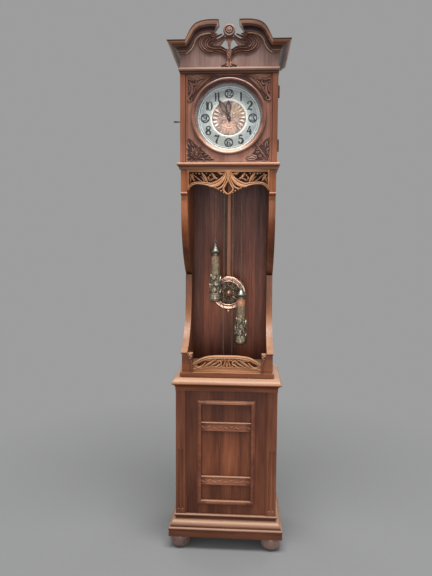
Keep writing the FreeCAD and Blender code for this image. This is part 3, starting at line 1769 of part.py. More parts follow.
def write_all():
    os.makedirs("parts", exist_ok=True)
    save("bun_feet", *bun_feet())
    save("plinth", *plinth())
    save("base_sides", base_side(), mirrored(base_side()))
    save("base_front", base_front())
    save("base_pilasters", pilaster(), mirrored(pilaster()))
    save("base_panel_mouldings", *panel_mouldings())
    save("base_top", base_top())
    save("backboard", backboard())
    save("left_cheek", cheek())
    save("right_cheek", mirrored(cheek()))
    save("cheek_blocks", *cheek_blocks())
    save("lower_fret", lower_fret())
    save("upper_fret", upper_fret())
    save("hood_base_moulding", hood_base_moulding())
    save("hood_carcass", *hood_sides(), hood_roof())
    save("frieze", frieze())
    save("left_cornice", cornice())
    save("right_cornice", mirrored(cornice()))
    save("tympanum", *tympanum_and_rosette())
    save("door_frame", door_frame())
    save("door_ring", door_ring())
    save("door_glass", door_glass())
    save("door_carvings", *door_spandrels())
    save("door_fittings", *[door_hinge(low) for low in hinge_levels], door_staple())
    save("door_hinges", *[fixed_hinge(low) for low in hinge_levels])
    save("lock_case", lock_case())
    save("lock_bolt", lock_bolt())
    save("lock_key", lock_key())
    save("seatboard", seatboard())
    save("movement_plates", front_plate(), *back_plate())
    save("plate_pillars", *plate_pillars())
    save("going_great_wheel", great_wheel(going_at, going_great_teeth, centre_at))
    save("going_chain_wheel", chain_wheel(going_at))
    save("centre_wheel", centre_wheel(), cannon_wheel())
    save("third_wheel", third_wheel())
    save("escape_wheel", escape_wheel())
    save("anchor", pallet_anchor())
    save("strike_great_wheel", great_wheel(strike_at, strike_great_teeth, pin_wheel_at))
    save("strike_chain_wheel", chain_wheel(strike_at))
    save("pin_wheel", pin_wheel())
    save("fly", strike_fly())
    save("minute_wheel", minute_wheel())
    save("hour_wheel", hour_wheel())
    save("hammer", hammer())
    save("gong", *gong())
    save("dial_plate", dial_plate())
    save("chapter_ring", chapter_ring())
    save("dial_centre", dial_centre())
    save("minute_hand", *minute_hand())
    save("hour_hand", hour_hand())
    save("pendulum_rod", *pendulum_rod())
    save("pendulum_bob", *pendulum_bob())
    save("left_weight", weight(-outer_x, left_weight_hang))
    save("right_weight", weight(outer_x, right_weight_hang))
    save("left_weight_chain", chain_side(-outer_x, left_weight_hang))
    save("right_weight_chain", chain_side(outer_x, right_weight_hang))
    save("left_free_chain", chain_side(-inner_x, chain_run - left_weight_hang))
    save("right_free_chain", chain_side(inner_x, chain_run - right_weight_hang))
    save("left_chain_ring", end_ring(-inner_x, left_weight_hang))
    save("right_chain_ring", end_ring(inner_x, right_weight_hang))


write_all()
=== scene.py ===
"""Looks for the longcase clock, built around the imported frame.

Finishes, camera and lamps are in metres. The carvings are in millimetres, and MM turns them into metres."""

import math

import bmesh
import bpy
from mathutils import Matrix, Vector


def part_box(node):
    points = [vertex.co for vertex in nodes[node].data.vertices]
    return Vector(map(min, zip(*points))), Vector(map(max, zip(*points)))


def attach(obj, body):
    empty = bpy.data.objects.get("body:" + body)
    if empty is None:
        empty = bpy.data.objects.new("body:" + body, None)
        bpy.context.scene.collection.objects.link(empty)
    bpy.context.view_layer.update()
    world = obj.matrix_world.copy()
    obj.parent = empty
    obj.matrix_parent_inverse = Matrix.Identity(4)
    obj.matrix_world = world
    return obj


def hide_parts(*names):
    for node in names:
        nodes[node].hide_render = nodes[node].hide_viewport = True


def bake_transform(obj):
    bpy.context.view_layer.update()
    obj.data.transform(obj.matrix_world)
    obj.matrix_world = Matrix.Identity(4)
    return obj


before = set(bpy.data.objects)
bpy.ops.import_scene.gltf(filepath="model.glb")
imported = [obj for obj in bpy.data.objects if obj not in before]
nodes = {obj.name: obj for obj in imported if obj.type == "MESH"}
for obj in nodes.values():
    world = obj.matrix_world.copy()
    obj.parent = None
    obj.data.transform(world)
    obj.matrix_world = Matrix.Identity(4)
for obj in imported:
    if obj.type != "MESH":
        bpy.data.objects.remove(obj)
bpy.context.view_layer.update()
MM = 0.001

# The plane of each carving (its y) and the height that its points are measured from
PEDIMENT = (-128.5, 2200)
DOOR = (-122.5, 1780)
UPPER_FRET = (-124.5, 1633)
LOWER_FRET = (-109.5, 828)
SCROLLS = (-147.75, 2200)
BLOCKS = (-120.5, 828)
BARS = (-136, 303)
DIAL = (-93.5, 1967)
BOB = (29.5, 1180)
GONG = (76.5, 2051)

# How far the frets' carvings reach back through the boards
FRET_THICK = 13
# The dial's centre as (x, z) in metres
DIAL_CENTRE = (0, DIAL[1] * MM)
CHAIN_Y = -35.5
WEIGHT_X, FREE_X = 60, 20
WEIGHT_BOTTOMS = {"left": 1145.66, "right": 945.66}
WEIGHT_TALL = 272


def add_object(name, data):
    """An object in the scene."""
    made = bpy.data.objects.new(name, data)
    bpy.context.scene.collection.objects.link(made)
    return made


# Camera

def make_camera():
    """The photograph's camera, solved from the case's edges."""
    place = Vector((0.089, -2.4655, 1.443))
    yaw, pitch, roll = (math.radians(a) for a in (-3.42, -5.48, 0.34))
    forward = Vector((math.sin(yaw) * math.cos(pitch), math.cos(yaw) * math.cos(pitch), math.sin(pitch)))
    level = Vector((math.cos(yaw), -math.sin(yaw), 0))
    upright = level.cross(forward)
    right = level * math.cos(roll) + upright * math.sin(roll)
    up = upright * math.cos(roll) - level * math.sin(roll)
    data = bpy.data.cameras.new("camera")
    data.lens = 32.8
    data.sensor_width = 36
    data.clip_end = 50
    camera = add_object("camera", data)
    turn = Matrix((right, up, -forward)).transposed().to_4x4()
    camera.matrix_world = Matrix.Translation(place) @ turn
    bpy.context.scene.camera = camera


# Materials

def add_node(tree, kind, inputs=(), **settings):
    """A shader node. Each input is linked to a socket or set to a value."""
    made = tree.nodes.new("ShaderNode" + kind)
    for key, value in settings.items():
        setattr(made, key, value)
    for key, value in dict(inputs).items():
        if isinstance(value, bpy.types.NodeSocket):
            tree.links.new(value, made.inputs[key])
        else:
            made.inputs[key].default_value = value
    return made


class Finish:
    """A node material in the making. Patterns use the object's own coordinates, in metres."""

    def __init__(self, name, **fixed):
        self.material = bpy.data.materials.new(name)
        self.material.use_nodes = True
        self.tree = self.material.node_tree
        self.tree.nodes.clear()
        self.output = self.node("OutputMaterial")
        self.shader = self.node("BsdfPrincipled")
        self.tree.links.new(self.shader.outputs[0], self.output.inputs[0])
        for socket, value in fixed.items():
            self.shader.inputs[socket.replace("_", " ")].default_value = value

    def node(self, kind, inputs=(), **settings):
        return add_node(self.tree, kind, inputs, **settings)

    def done(self, colour, roughness, normal):
        """Links the patterns to the shader and gives the material."""
        for socket, name in ((colour, "Base Color"), (roughness, "Roughness"), (normal, "Normal")):
            self.tree.links.new(socket, self.shader.inputs[name])
        return self.material

    def coords(self, scale=(1, 1, 1)):
        place = self.node("TexCoord").outputs["Object"]
        return self.node("Mapping", {"Vector": place, "Scale": scale}).outputs[0]

    def axes(self):
        return self.node("SeparateXYZ", {0: self.coords()}).outputs

    def noise(self, scale, detail=3, rough=0.5, vector=None):
        inputs = {"Vector": vector or self.coords(), "Scale": scale, "Detail": detail, "Roughness": rough}
        return self.node("TexNoise", inputs).outputs["Fac"]

    def cells(self, scale):
        return self.node("TexVoronoi", {"Vector": self.coords(), "Scale": scale}).outputs["Distance"]

    def math(self, operation, a, b=0):
        return self.node("Math", {0: a, 1: b}, operation=operation).outputs[0]

    def times(self, a, b):
        return self.math("MULTIPLY", a, b)

    def weigh(self, *parts):
        """The sum of (socket, weight) parts."""
        total, *others = [self.times(socket, weight) for socket, weight in parts]
        for other in others:
            total = self.math("ADD", total, other)
        return total

    def ramp(self, factor, stops):
        """A colour ramp through (place, colour) stops. A colour is a grey value or three numbers."""
        made = self.node("ValToRGB", {"Fac": factor})
        ramp = made.color_ramp
        while len(ramp.elements) < len(stops):
            ramp.elements.new(0.5)
        for element, (place, colour) in zip(ramp.elements, stops):
            element.position = place
            element.color = (*((colour,) * 3 if isinstance(colour, (int, float)) else colour), 1)
        return made.outputs["Color"]

    def mix(self, factor, a, b, blend="MIX"):
        inputs = {6: a, 7: b}
        for key, value in inputs.items():
            if not isinstance(value, bpy.types.NodeSocket):
                inputs[key] = (*value, 1)
        return self.node("Mix", {0: factor, **inputs}, data_type="RGBA", blend_type=blend).outputs[2]

    def tinted(self, colour, tint):
        return self.mix(1, colour, tint, "MULTIPLY")

    def zones(self, centre, stops):
        """Greys by distance from centre, measured square to the Y axis. Stops are (metres up to 0.25, grey)."""
        axes = self.axes()
        across, along = (self.math("POWER", self.math("SUBTRACT", axes[i], middle), 2)
                         for i, middle in zip((0, 2), centre))
        away = self.times(self.math("SQRT", self.math("ADD", across, along)), 4)
        return self.ramp(away, [(distance * 4, grey) for distance, grey in stops])

    def recessed(self, colour, reach, share, dirt):
        """The colour darkened in recesses closer than reach: painted shade for the woods, and for the metals partly
        patina in their hollows.
        """
        shade = self.node("AmbientOcclusion", {"Distance": reach}, samples=8).outputs["AO"]
        closed = self.math("SUBTRACT", 1, self.ramp(shade, [(0.35, 0), (0.95, 1)]))
        return self.mix(self.times(closed, share), colour, dirt)

    def bump(self, height, strength, distance):
        return self.node("Bump", {"Height": height, "Strength": strength, "Distance": distance}).outputs[0]


# How the fine patterns and the patches stretch along each grain
ALONG_GRAIN = {"x": (0.05, 1, 1), "z": (1, 1, 0.05)}
PATCHES = {"x": (0.28, 1, 1), "z": (1, 1, 0.28)}
# Colour of the painted shade in the woods' recesses
RECESS_SHADE = (0.018, 0.006, 0.004)
# Colour of the painted sheen on surfaces that face up
TOP_SHEEN_COLOUR = (0.5, 0.29, 0.18)
# Tint of the paler edges: partly wear, partly a painted highlight
WORN_AND_LIT_EDGE = (2.3, 2.4, 2.5)
# Tint of the painted shade on surfaces that face down
UNDERSIDE_SHADE = (0.35, 0.32, 0.34)


def wood(name, dark, middle, light, grain="z", rough=0.36, dirt=0.55, reach=0.012, coat=0.06, wear=0.55, rim=0.3,
         under=0.7, tint=None, bands=(), glow=None):
    """Varnished wood with streaks and pores along the grain. Painted shade darkens its recesses and its undersides.
    Its edges are paler, partly from wear and partly from a painted highlight, and a painted sheen lightens it where
    it faces up. Tint multiplies the colour. Bands are (axis, low, high, stops) and multiply it too, where axis 0 is
    the distance from the middle. Glow is (x, z, reach, tint)."""
    f = Finish(name, Coat_Weight=coat, Coat_Roughness=0.2, Specular_IOR_Level=0.22)
    fine = f.coords(ALONG_GRAIN[grain])
    streaks = f.noise(150, 5, 0.6, fine)
    boards = f.noise(26, 3, 0.55, fine)
    pores = f.noise(1100, 2, 0.5, fine)
    patches = f.noise(7, 3, 0.55, f.coords(PATCHES[grain]))
    tone = f.weigh((streaks, 0.3), (boards, 0.3), (patches, 0.4))
    colour = f.ramp(tone, [(0.38, dark), (0.5, middle), (0.64, light)])
    if tint:
        colour = f.tinted(colour, tint)
    axes = f.axes()
    for axis, low, high, stops in bands:
        along = axes[axis] if axis else f.math("ABSOLUTE", axes[0])
        share = f.node("MapRange", {"Value": along, "From Min": low, "From Max": high}).outputs[0]
        colour = f.tinted(colour, f.ramp(share, stops))
    if glow:
        x, z, far, shine = glow
        near = f.zones((x, z), [(0, 1), (far * 0.4, 0.72), (far * 0.75, 0.22), (far, 0)])
        colour = f.mix(near, colour, f.tinted(colour, shine))
    colour = f.mix(f.ramp(pores, [(0.3, 0.4), (0.42, 0)]), colour, dark)
    # Paler convex edges: partly wear, partly a painted highlight
    inner = f.node("AmbientOcclusion", {"Distance": 0.003}, samples=6, inside=True).outputs["AO"]
    worn_and_lit_edges = f.times(f.math("SUBTRACT", 1, inner), rim)
    worn_and_lit_edges = f.times(worn_and_lit_edges, f.ramp(patches, [(0.3, 0.5), (0.6, 1)]))
    colour = f.mix(worn_and_lit_edges, colour, f.tinted(colour, WORN_AND_LIT_EDGE))
    # Painted sheen: paler where the surface faces up, as if lit from above
    up = f.node("SeparateXYZ", {0: f.node("TexCoord").outputs["Normal"]}).outputs[2]
    top_sheen = f.times(f.ramp(up, [(0.12, 0), (0.75, 1)]), f.ramp(boards, [(0.3, wear * 0.7), (0.6, wear)]))
    colour = f.mix(top_sheen, colour, TOP_SHEEN_COLOUR)
    # Painted shade on surfaces that face down
    down = f.ramp(f.times(up, -1), [(0.1, 0), (0.8, under)])
    colour = f.mix(down, colour, f.tinted(colour, UNDERSIDE_SHADE))
    # Painted shade in the recesses closer than reach
    return f.done(f.recessed(colour, reach, dirt, RECESS_SHADE),
                  f.ramp(streaks, [(0.3, rough + 0.08), (0.7, rough - 0.06)]),
                  f.bump(f.weigh((streaks, 0.6), (pores, 0.4)), 0.25, 0.0004))


def metal(name, colour, patina, rough=0.35, scale=60, recess=0.8, metallic=1):
    """Metal with a patina in patches. In its recesses patina and painted shade darken it."""
    f = Finish(name, Metallic=metallic)
    cloud = f.noise(scale, 4, 0.6)
    dust = f.noise(scale * 9, 3, 0.6)
    worn = f.mix(f.ramp(cloud, [(0.42, 0), (0.68, 1)]), colour, patina)
    return f.done(f.recessed(worn, 0.006, recess, tuple(c * 0.35 for c in patina)),
                  f.ramp(cloud, [(0.3, rough - 0.08), (0.75, rough + 0.15)]), f.bump(dust, 0.2, 0.0003))


def brushed(name, colour, dark, grain="x"):
    """Metal with fine lines along one direction."""
    f = Finish(name, Metallic=1)
    lines = f.noise(900, 3, 0.6, f.coords(ALONG_GRAIN[grain]))
    cloud = f.noise(25, 3, 0.5)
    return f.done(f.mix(f.ramp(cloud, [(0.35, 0), (0.75, 1)]), colour, dark),
                  f.ramp(lines, [(0.3, 0.22), (0.7, 0.42)]), f.bump(lines, 0.15, 0.0002))


def silvered(name):
    """The chapter ring's stippled silvering: creamy by the centre and low down, with the door ring's shadow painted
    blue-grey at the rim.
    """
    f = Finish(name, Metallic=0.2)
    cloud = f.noise(28, 5, 0.65)
    speck = f.noise(300, 3, 0.6)
    colour = f.ramp(cloud, [(0.32, (0.2, 0.225, 0.235)), (0.5, (0.3, 0.322, 0.325)), (0.68, (0.41, 0.418, 0.405))])
    for centre, stops, other in (
        (DIAL_CENTRE, [(0.074, 1), (0.088, 0.8), (0.1, 0)], (0.43, 0.405, 0.35)),
        ((-0.02, 1.86), [(0, 0.9), (0.055, 0.75), (0.13, 0)], (0.215, 0.208, 0.18)),
        # Painted shadow of the door ring, blue-grey beyond 139 mm
        (DIAL_CENTRE, [(0.136, 0), (0.141, 0.65)], (0.2, 0.22, 0.29)),
    ):
        colour = f.mix(f.zones(centre, stops), colour, other)
    colour = f.mix(f.ramp(speck, [(0.38, 0.75), (0.54, 0)]), colour, (0.17, 0.2, 0.21))
    return f.done(colour, f.ramp(speck, [(0.3, 0.6), (0.7, 0.4)]), f.bump(f.cells(380), 0.6, 0.0006))


def embossed_copper(name):
    """The dial's pink copper centre, brighter low down, with a dull, uneven rim."""
    f = Finish(name, Metallic=0.45)
    cloud = f.noise(45, 4, 0.6)
    colour = f.ramp(cloud, [(0.3, (0.23, 0.145, 0.12)), (0.55, (0.39, 0.265, 0.225)), (0.8, (0.54, 0.4, 0.35))])
    low_side = f.zones((0, 1.928), [(0, 0.9), (0.02, 0.6), (0.042, 0)])
    colour = f.mix(low_side, colour, (0.66, 0.39, 0.28))
    warm_side = f.zones((0.032, 1.998), [(0, 0.8), (0.022, 0.55), (0.036, 0)])
    colour = f.mix(warm_side, colour, (0.4, 0.28, 0.18))
    edge = f.times(f.zones(DIAL_CENTRE, [(0.046, 0), (0.058, 0.5), (0.072, 0.95)]),
                   f.ramp(cloud, [(0.35, 1), (0.62, 0.35)]))
    colour = f.mix(edge, colour, (0.17, 0.125, 0.1))
    return f.done(f.recessed(colour, 0.004, 0.85, (0.09, 0.05, 0.035)), f.ramp(cloud, [(0.3, 0.36), (0.8, 0.5)]),
                  f.bump(f.cells(600), 0.35, 0.0004))


def bob_metal(name):
    """Bright copper rims and boss, with painted shade in the grooves and over the pierced zone between them."""
    f = Finish(name, Metallic=1)
    cloud = f.noise(70, 4, 0.6)
    copper = f.ramp(cloud, [(0.35, (0.56, 0.32, 0.22)), (0.7, (0.8, 0.57, 0.45))])
    dark = f.ramp(cloud, [(0.35, (0.02, 0.015, 0.012)), (0.7, (0.07, 0.05, 0.036))])
    # Painted shade: the grooves between the rims and the pierced zone are darkened
    painted_shade_zones = f.zones((0, BOB[1] * MM), [
        (0.014, 0), (0.0155, 1), (0.053, 1), (0.054, 0), (0.06, 0), (0.0608, 1), (0.0645, 1), (0.0653, 0)])
    colour = f.mix(painted_shade_zones, copper, dark)
    return f.done(f.recessed(colour, 0.006, 0.6, (0.03, 0.015, 0.01)), f.ramp(cloud, [(0.3, 0.2), (0.8, 0.36)]),
                  f.bump(f.noise(500, 3, 0.6), 0.15, 0.0003))


def weight_metal(name, bottom, collar):
    """Dark bronze with a share of copper in the collar. The golden shaft and the grey-green cap are partly painted
    highlights, the cap's green partly verdigris.
    """
    f = Finish(name, Metallic=0.92)
    cloud = f.noise(90, 4, 0.65)
    dark = f.ramp(cloud, [(0.32, (0.09, 0.078, 0.06)), (0.52, (0.26, 0.215, 0.155)), (0.74, (0.56, 0.47, 0.34))])
    golden = f.ramp(cloud, [(0.3, (0.11, 0.08, 0.048)), (0.52, (0.23, 0.175, 0.115)), (0.74, (0.36, 0.29, 0.2))])
    green = f.ramp(cloud, [(0.3, (0.1, 0.098, 0.08)), (0.72, (0.27, 0.27, 0.23))])
    copper = f.ramp(cloud, [(0.3, (0.38, 0.15, 0.08)), (0.72, (0.7, 0.36, 0.22))])
    height = f.times(f.math("SUBTRACT", f.axes()[2], bottom * MM), 1 / (WEIGHT_TALL * MM))
    # Golden shaft: partly a painted highlight
    colour = f.mix(f.ramp(height, [(0.42, 0), (0.5, 1)]), dark, golden)
    band = f.ramp(height, [(0.66, 0), (0.7, collar), (0.785, collar), (0.8, 0)])
    colour = f.mix(band, colour, copper)
    # Grey-green cap: partly verdigris, partly a painted highlight
    colour = f.mix(f.ramp(height, [(0.8, 0), (0.83, 1)]), colour, green)
    return f.done(f.recessed(colour, 0.006, 0.8, (0.012, 0.01, 0.008)), f.ramp(cloud, [(0.3, 0.42), (0.8, 0.24)]),
                  f.bump(f.noise(600, 3, 0.6), 0.3, 0.0004))


def pane(name):
    """Clear glass that lets the lamps through."""
    f = Finish(name, Transmission_Weight=1, Roughness=0.02, IOR=1.45)
    smear = f.ramp(f.noise(9, 2, 0.5), [(0.3, (0.97, 0.99, 0.98)), (0.7, (0.995, 1, 1))])
    f.tree.links.new(smear, f.shader.inputs["Base Color"])
    clear = f.node("BsdfTransparent", {"Color": (0.96, 0.98, 0.97, 1)})
    shadow = f.node("LightPath").outputs["Is Shadow Ray"]
    both = f.node("MixShader", {0: shadow, 1: f.shader.outputs[0], 2: clear.outputs[0]})
    f.tree.links.new(both.outputs[0], f.output.inputs[0])
    return f.material


def enamel(name, colour):
    """Dark enamel, slightly uneven."""
    f = Finish(name, Metallic=0.3)
    cloud = f.noise(120, 4, 0.6)
    shades = [(place, tuple(c * share for c in colour)) for place, share in ((0.3, 0.7), (0.7, 1.3))]
    return f.done(f.ramp(cloud, shades), f.ramp(cloud, [(0.3, 0.35), (0.7, 0.55)]), f.bump(cloud, 0.15, 0.0003))


def tones(*values):
    """Dark, middle and light colours from nine numbers in ten-thousandths."""
    return [tuple(value / 10000 for value in values[i:i + 3]) for i in (0, 3, 6)]


WALNUT = tones(518, 158, 90, 1058, 326, 165, 1836, 609, 280)
EDGING = tones(900, 290, 165, 1620, 560, 305, 2500, 940, 530)
FLANK = tones(700, 220, 120, 1250, 420, 210, 1900, 700, 350)
WARM = tones(980, 285, 117, 1862, 608, 243, 2940, 1092, 468)
TAWNY = tones(726, 320, 198, 1254, 589, 372, 1848, 928, 600)
RUDDY = tones(1242, 478, 304, 1978, 846, 570, 2760, 1334, 950)
ROSY = tones(1187, 666, 563, 1852, 1127, 951, 2660, 1715, 1455)
LEAFY = tones(1600, 720, 520, 2700, 1320, 980, 3900, 2150, 1650)
SHADY = tones(943, 270, 154, 2030, 607, 330, 3480, 1148, 616)
HONEY = tones(1800, 680, 260, 3500, 1480, 620, 5000, 2500, 1250)
# Tones of the painted highlight on the necks' bands and beads
NECK_LIT_TONES = tones(2000, 900, 450, 3700, 1850, 1000, 5600, 3200, 1950)
# Tones of the painted shade on the necks' edges, fillets and coves
NECK_SHADED_TONES = tones(450, 220, 190, 900, 460, 390, 1500, 850, 720)
# Near-black tones of the painted shade behind the door's carvings
SHADE_GROUND_TONES = tones(220, 100, 90, 500, 220, 180, 1000, 460, 380)
FEET = tones(780, 440, 360, 1900, 1120, 920, 3300, 2100, 1800)
ROD = tones(2200, 680, 280, 3700, 1380, 640, 5000, 2200, 1120)
# How far from the middle the bands across the width reach
HALF_WIDTH = 0.2
# Painted highlights and painted shade in bands up the cornice's profile, dark in the cove under the overhang
CORNICE_PAINTED_LIGHT = [
    (0, (1.5, 1.6, 1.7)), (0.09, (1.5, 1.6, 1.7)), (0.12, (0.4, 0.5, 0.6)), (0.5, (0.5, 0.62, 0.75)),
    (0.55, (0.6, 0.7, 0.8)), (0.68, (0.6, 0.7, 0.8)), (0.72, (2, 2.5, 3)), (0.87, (2.3, 2.9, 3.4)),
    (0.9, (0.2, 0.2, 0.22))]
# Height bands of the backboard: darker low down, and a painted blue-grey sheen at the top
BACKBOARD_HEIGHTS = [
    (0, (0.48, 0.45, 0.47)), (0.42, (1.3, 1.25, 1.05)), (0.6, (1.2, 1.18, 1.1)), (1, (0.46, 0.8, 1.35))]
BACKBOARD_WIDTHS = [
    (0, (0.85, 0.85, 0.88)), (0.3, 0.92), (0.36, (1.18, 1.12, 1.08)), (0.72, (1.2, 1.12, 1.05)),
    (0.78, (0.82, 0.78, 0.78)), (0.84, (1.15, 1.08, 1.05))]

finishes = {}


def use(name, make, values, wearers="", **options):
    """Makes a finish and lays it on the solids that wear it."""
    finishes[name] = make(name, *values, **options)
    for wearer in wearers.split():
        node = nodes[wearer]
        if not node.material_slots:
            node.data.materials.append(None)
        for material_slot in node.material_slots:
            material_slot.material = finishes[name]


use("upright", wood, WALNUT, "base_sides base_front", glow=(-0.02, 0.44, 0.19, (1.75, 1.75, 1.65)))
use("flank", wood, FLANK, "base_pilasters",
    bands=[(2, 0.15, 0.75, [(0, 1.25), (1, (1.15, 1.1, 1.1))])])
use("level", wood, WALNUT, grain="x")
use("edging", wood, EDGING, "base_panel_mouldings", grain="x", rim=0.5,
    bands=[(0, 0, HALF_WIDTH, [(0, (1.5, 1.6, 1.6)), (0.42, (1.5, 1.6, 1.6)), (0.5, (0.95, 0.88, 0.86))])])
use("plinth", wood, FLANK, "plinth", grain="x", wear=0.75, tint=(0.87, 0.84, 0.84))
# The band from 1.3 to 1.7 m paints light and shade on the cheeks' curves
use("warm_upright", wood, WARM, "left_cheek right_cheek hood_carcass",
    bands=[(2, 1.3, 1.7, [(0, (1.15, 1.25, 1.35)), (0.2, (0.7, 0.62, 0.58)), (0.6, (1.35, 1.2, 0.98))])])
use("warm_level", wood, WARM, "base_top cheek_blocks", grain="x", wear=1, under=0.9, tint=(0.88, 0.78, 0.7))
use("tawny", wood, TAWNY, "frieze", grain="x", wear=0.6, tint=(0.84, 0.82, 0.84))
use("hood_base", wood, TAWNY, "hood_base_moulding", grain="x", wear=0.9, tint=(1.25, 0.98, 0.76))
# The cornice's height bands are painted highlight and painted shade
use("cornice", wood, WARM, "left_cornice right_cornice", grain="x", rough=0.3, coat=0.2, dirt=0.6, reach=0.02,
    bands=[(2, 2.229, 2.272, CORNICE_PAINTED_LIGHT)])
# Lit and shaded copies for the neck mouldings: painted highlight on the band and beads, painted shade on the edge,
# fillet and cove
use("neck_band", wood, NECK_LIT_TONES, grain="x", rough=0.3, coat=0.2, under=0, dirt=0.3, reach=0.004,
    bands=[(2, 2.3, 2.35, [(0, (1.1, 1.2, 1.32)), (1, (1.1, 1.3, 1.62))])])
use("neck_edge", wood, NECK_SHADED_TONES, grain="x", rough=0.34, under=0.3, wear=0.3, rim=0.2)
use("neck_fillet", wood, NECK_SHADED_TONES, grain="x", rough=0.3, coat=0.2, under=0.3)
use("neck_cove", wood, NECK_SHADED_TONES, grain="x", rough=0.34, coat=0.1, dirt=0.4, tint=(0.62, 0.52, 0.52))
use("ruddy", wood, RUDDY, "door_frame",
    bands=[(0, 0.172, 0.188, [(0, (1.15, 1.2, 1.25)), (1, (0.8, 0.66, 0.52))]),
           (2, 1.79, 1.87, [(0, (1.7, 1.75, 1.75)), (0.4, (1.5, 1.55, 1.55)), (1, 1)])])
# The ring darkens towards its top: painted shade on the inner slope that faces down
use("ring", wood, RUDDY, "door_ring", grain="x", rough=0.24, coat=0.45, wear=0.8,
    bands=[(2, 1.93, 2.06, [(0, 1), (1, (0.62, 0.55, 0.6))])])
use("rosy", wood, ROSY, "tympanum", bands=[(2, 2.22, 2.3, [(0, 1), (1, (0.66, 0.62, 0.62))])])
use("rosy_carving", wood, LEAFY, grain="x", dirt=0.7, reach=0.006, rough=0.38, rim=0.5, coat=0.2)
# Painted shade: the wide recess reach darkens the backboard beside the cheeks and under the fret
use("shady", wood, SHADY, "backboard seatboard", rough=0.42, dirt=0.6, reach=0.09, rim=0,
    bands=[(2, 0.83, 1.72, BACKBOARD_HEIGHTS), (0, 0, 0.18, BACKBOARD_WIDTHS)])
use("honey", wood, HONEY, "lower_fret upper_fret", grain="x", rough=0.4, dirt=0.6, reach=0.006, rim=0.4,
    bands=[(0, 0, HALF_WIDTH, [(0, (1.3, 1.35, 1.45)), (0.45, (1.1, 1.1, 1.05)), (0.85, (0.68, 0.62, 0.58))])])
use("carved", wood, LEAFY, "door_carvings", grain="x", rough=0.38, dirt=0.85, reach=0.006, rim=0.5, coat=0.2)
# Finish of the plates of painted shade behind the door's carvings
use("ground", wood, SHADE_GROUND_TONES, rim=0)
use("feet", wood, FEET, "bun_feet", grain="x", rough=0.16, coat=0.8, wear=0.45)
use("rod", wood, ROD, "pendulum_rod")
use("fitting", metal, [(0.13, 0.075, 0.045), (0.07, 0.036, 0.022)], "door_fittings door_hinges",
    rough=0.5, metallic=0.7)
use("movement", brushed, [(0.78, 0.58, 0.27), (0.52, 0.36, 0.15)],
    "movement_plates plate_pillars going_great_wheel going_chain_wheel centre_wheel third_wheel escape_wheel "
    "strike_great_wheel strike_chain_wheel pin_wheel fly minute_wheel hour_wheel dial_plate")
use("chain", metal, [(0.24, 0.18, 0.125), (0.085, 0.06, 0.043)],
    "left_weight_chain right_weight_chain left_free_chain right_free_chain left_chain_ring right_chain_ring",
    rough=0.36, scale=200)
use("bronze", metal, [(0.085, 0.05, 0.045), (0.035, 0.02, 0.02)], "minute_hand hour_hand",
    rough=0.34, scale=140, metallic=0.6)
use("steel", brushed, [(0.56, 0.57, 0.6), (0.34, 0.35, 0.38)], "anchor hammer gong lock_bolt", grain="z")
use("iron", metal, [(0.06, 0.058, 0.06), (0.025, 0.023, 0.023)], "lock_case lock_key", rough=0.5, metallic=0.6)
use("silver", silvered, [], "chapter_ring")
use("pale_silver", metal, [(0.66, 0.67, 0.64), (0.46, 0.48, 0.46)], rough=0.45, metallic=0.2)
use("dial_copper", embossed_copper, [], "dial_centre")
use("bob", bob_metal, [], "pendulum_bob")
use("openwork", metal, [(0.42, 0.3, 0.2), (0.09, 0.07, 0.052)], rough=0.3, scale=160, recess=0.9)
for hand, copper_share in (("left", 0.15), ("right", 0.9)):
    use(hand + "_weight", weight_metal, [WEIGHT_BOTTOMS[hand], copper_share], hand + "_weight")
use("glass", pane, [], "door_glass")
use("numeral", enamel, [(0.006, 0.007, 0.012)])


# Carving: strokes, domes and rings laid on a surface

def front(y, base):
    """Places (x, z over base, height) in millimetres on the plane at y, standing out towards the viewer."""
    return lambda u, v, h: Vector((u, y - h, v + base)) * MM


def wrapped(x, y, bottom, profile):
    """Places (arc length at the widest, height over bottom, relief) in millimetres on a turned piece."""
    widest = max(r for _, r in profile)

    def radius_at(v):
        for (low, r0), (high, r1) in zip(profile, profile[1:]):
            if v <= high:
                return r0 + (r1 - r0) * max(0, v - low) / (high - low)
        return profile[-1][1]

    def place(u, v, h):
        angle = u / widest
        r = radius_at(v) + h
        return Vector((x + r * math.sin(angle), y - r * math.cos(angle), bottom + v)) * MM

    return place


# Half of each stroke's section: the place across, from edge to middle, and the share of the height
HALF_SECTIONS = {
    "round": [(-1, 0), (-0.85, 0.55), (-0.45, 0.9), (0, 1)],
    "groove": [(-1, 0), (-0.85, 0.75), (-0.5, 1), (0, 0.45)],
    "leaf": [(-1, 0.1), (-0.75, 0.75), (-0.35, 0.95), (0, 0.5)],
    "flat": [(-1, 0), (-0.98, 0.8), (-0.8, 1), (0, 1)],
    "valley": [(-1, 0), (-0.92, 0.8), (-0.64, 1), (-0.34, 0.3), (0, 0.05)],
    "ridge": [(-1, 0), (-0.5, 0.45), (0, 1)],
}
SECTIONS = {name: half + [(-s, t) for s, t in half[-2::-1]] for name, half in HALF_SECTIONS.items()}


def flowing(points, values, closed=False, steps=6):
    """A smooth path through the points, with the values carried along it."""
    count = len(points)
    if isinstance(values, (int, float)):
        values = [values] * count
    rows = [(*p, w) for p, w in zip(points, values)]
    if count == 2 and not closed:
        return rows

    def row(i):
        if closed:
            return rows[i % count]
        if 0 <= i < count:
            return rows[i]
        near, far = (rows[0], rows[1]) if i < 0 else (rows[-1], rows[-2])
        return tuple(2 * a - b for a, b in zip(near, far))

    found = []
    for i in range(count if closed else count - 1):
        p0, p1, p2, p3 = (row(i + k) for k in (-1, 0, 1, 2))
        for k in range(steps):
            t = k / steps
            found.append(tuple(
                0.5 * (2 * b + (c - a) * t + (2 * a - 5 * b + 4 * c - d) * t * t + (3 * b - a - 3 * c + d) * t ** 3)
                for a, b, c, d in zip(p0, p1, p2, p3)
            ))
    if not closed:
        found.append(rows[-1])
    return found


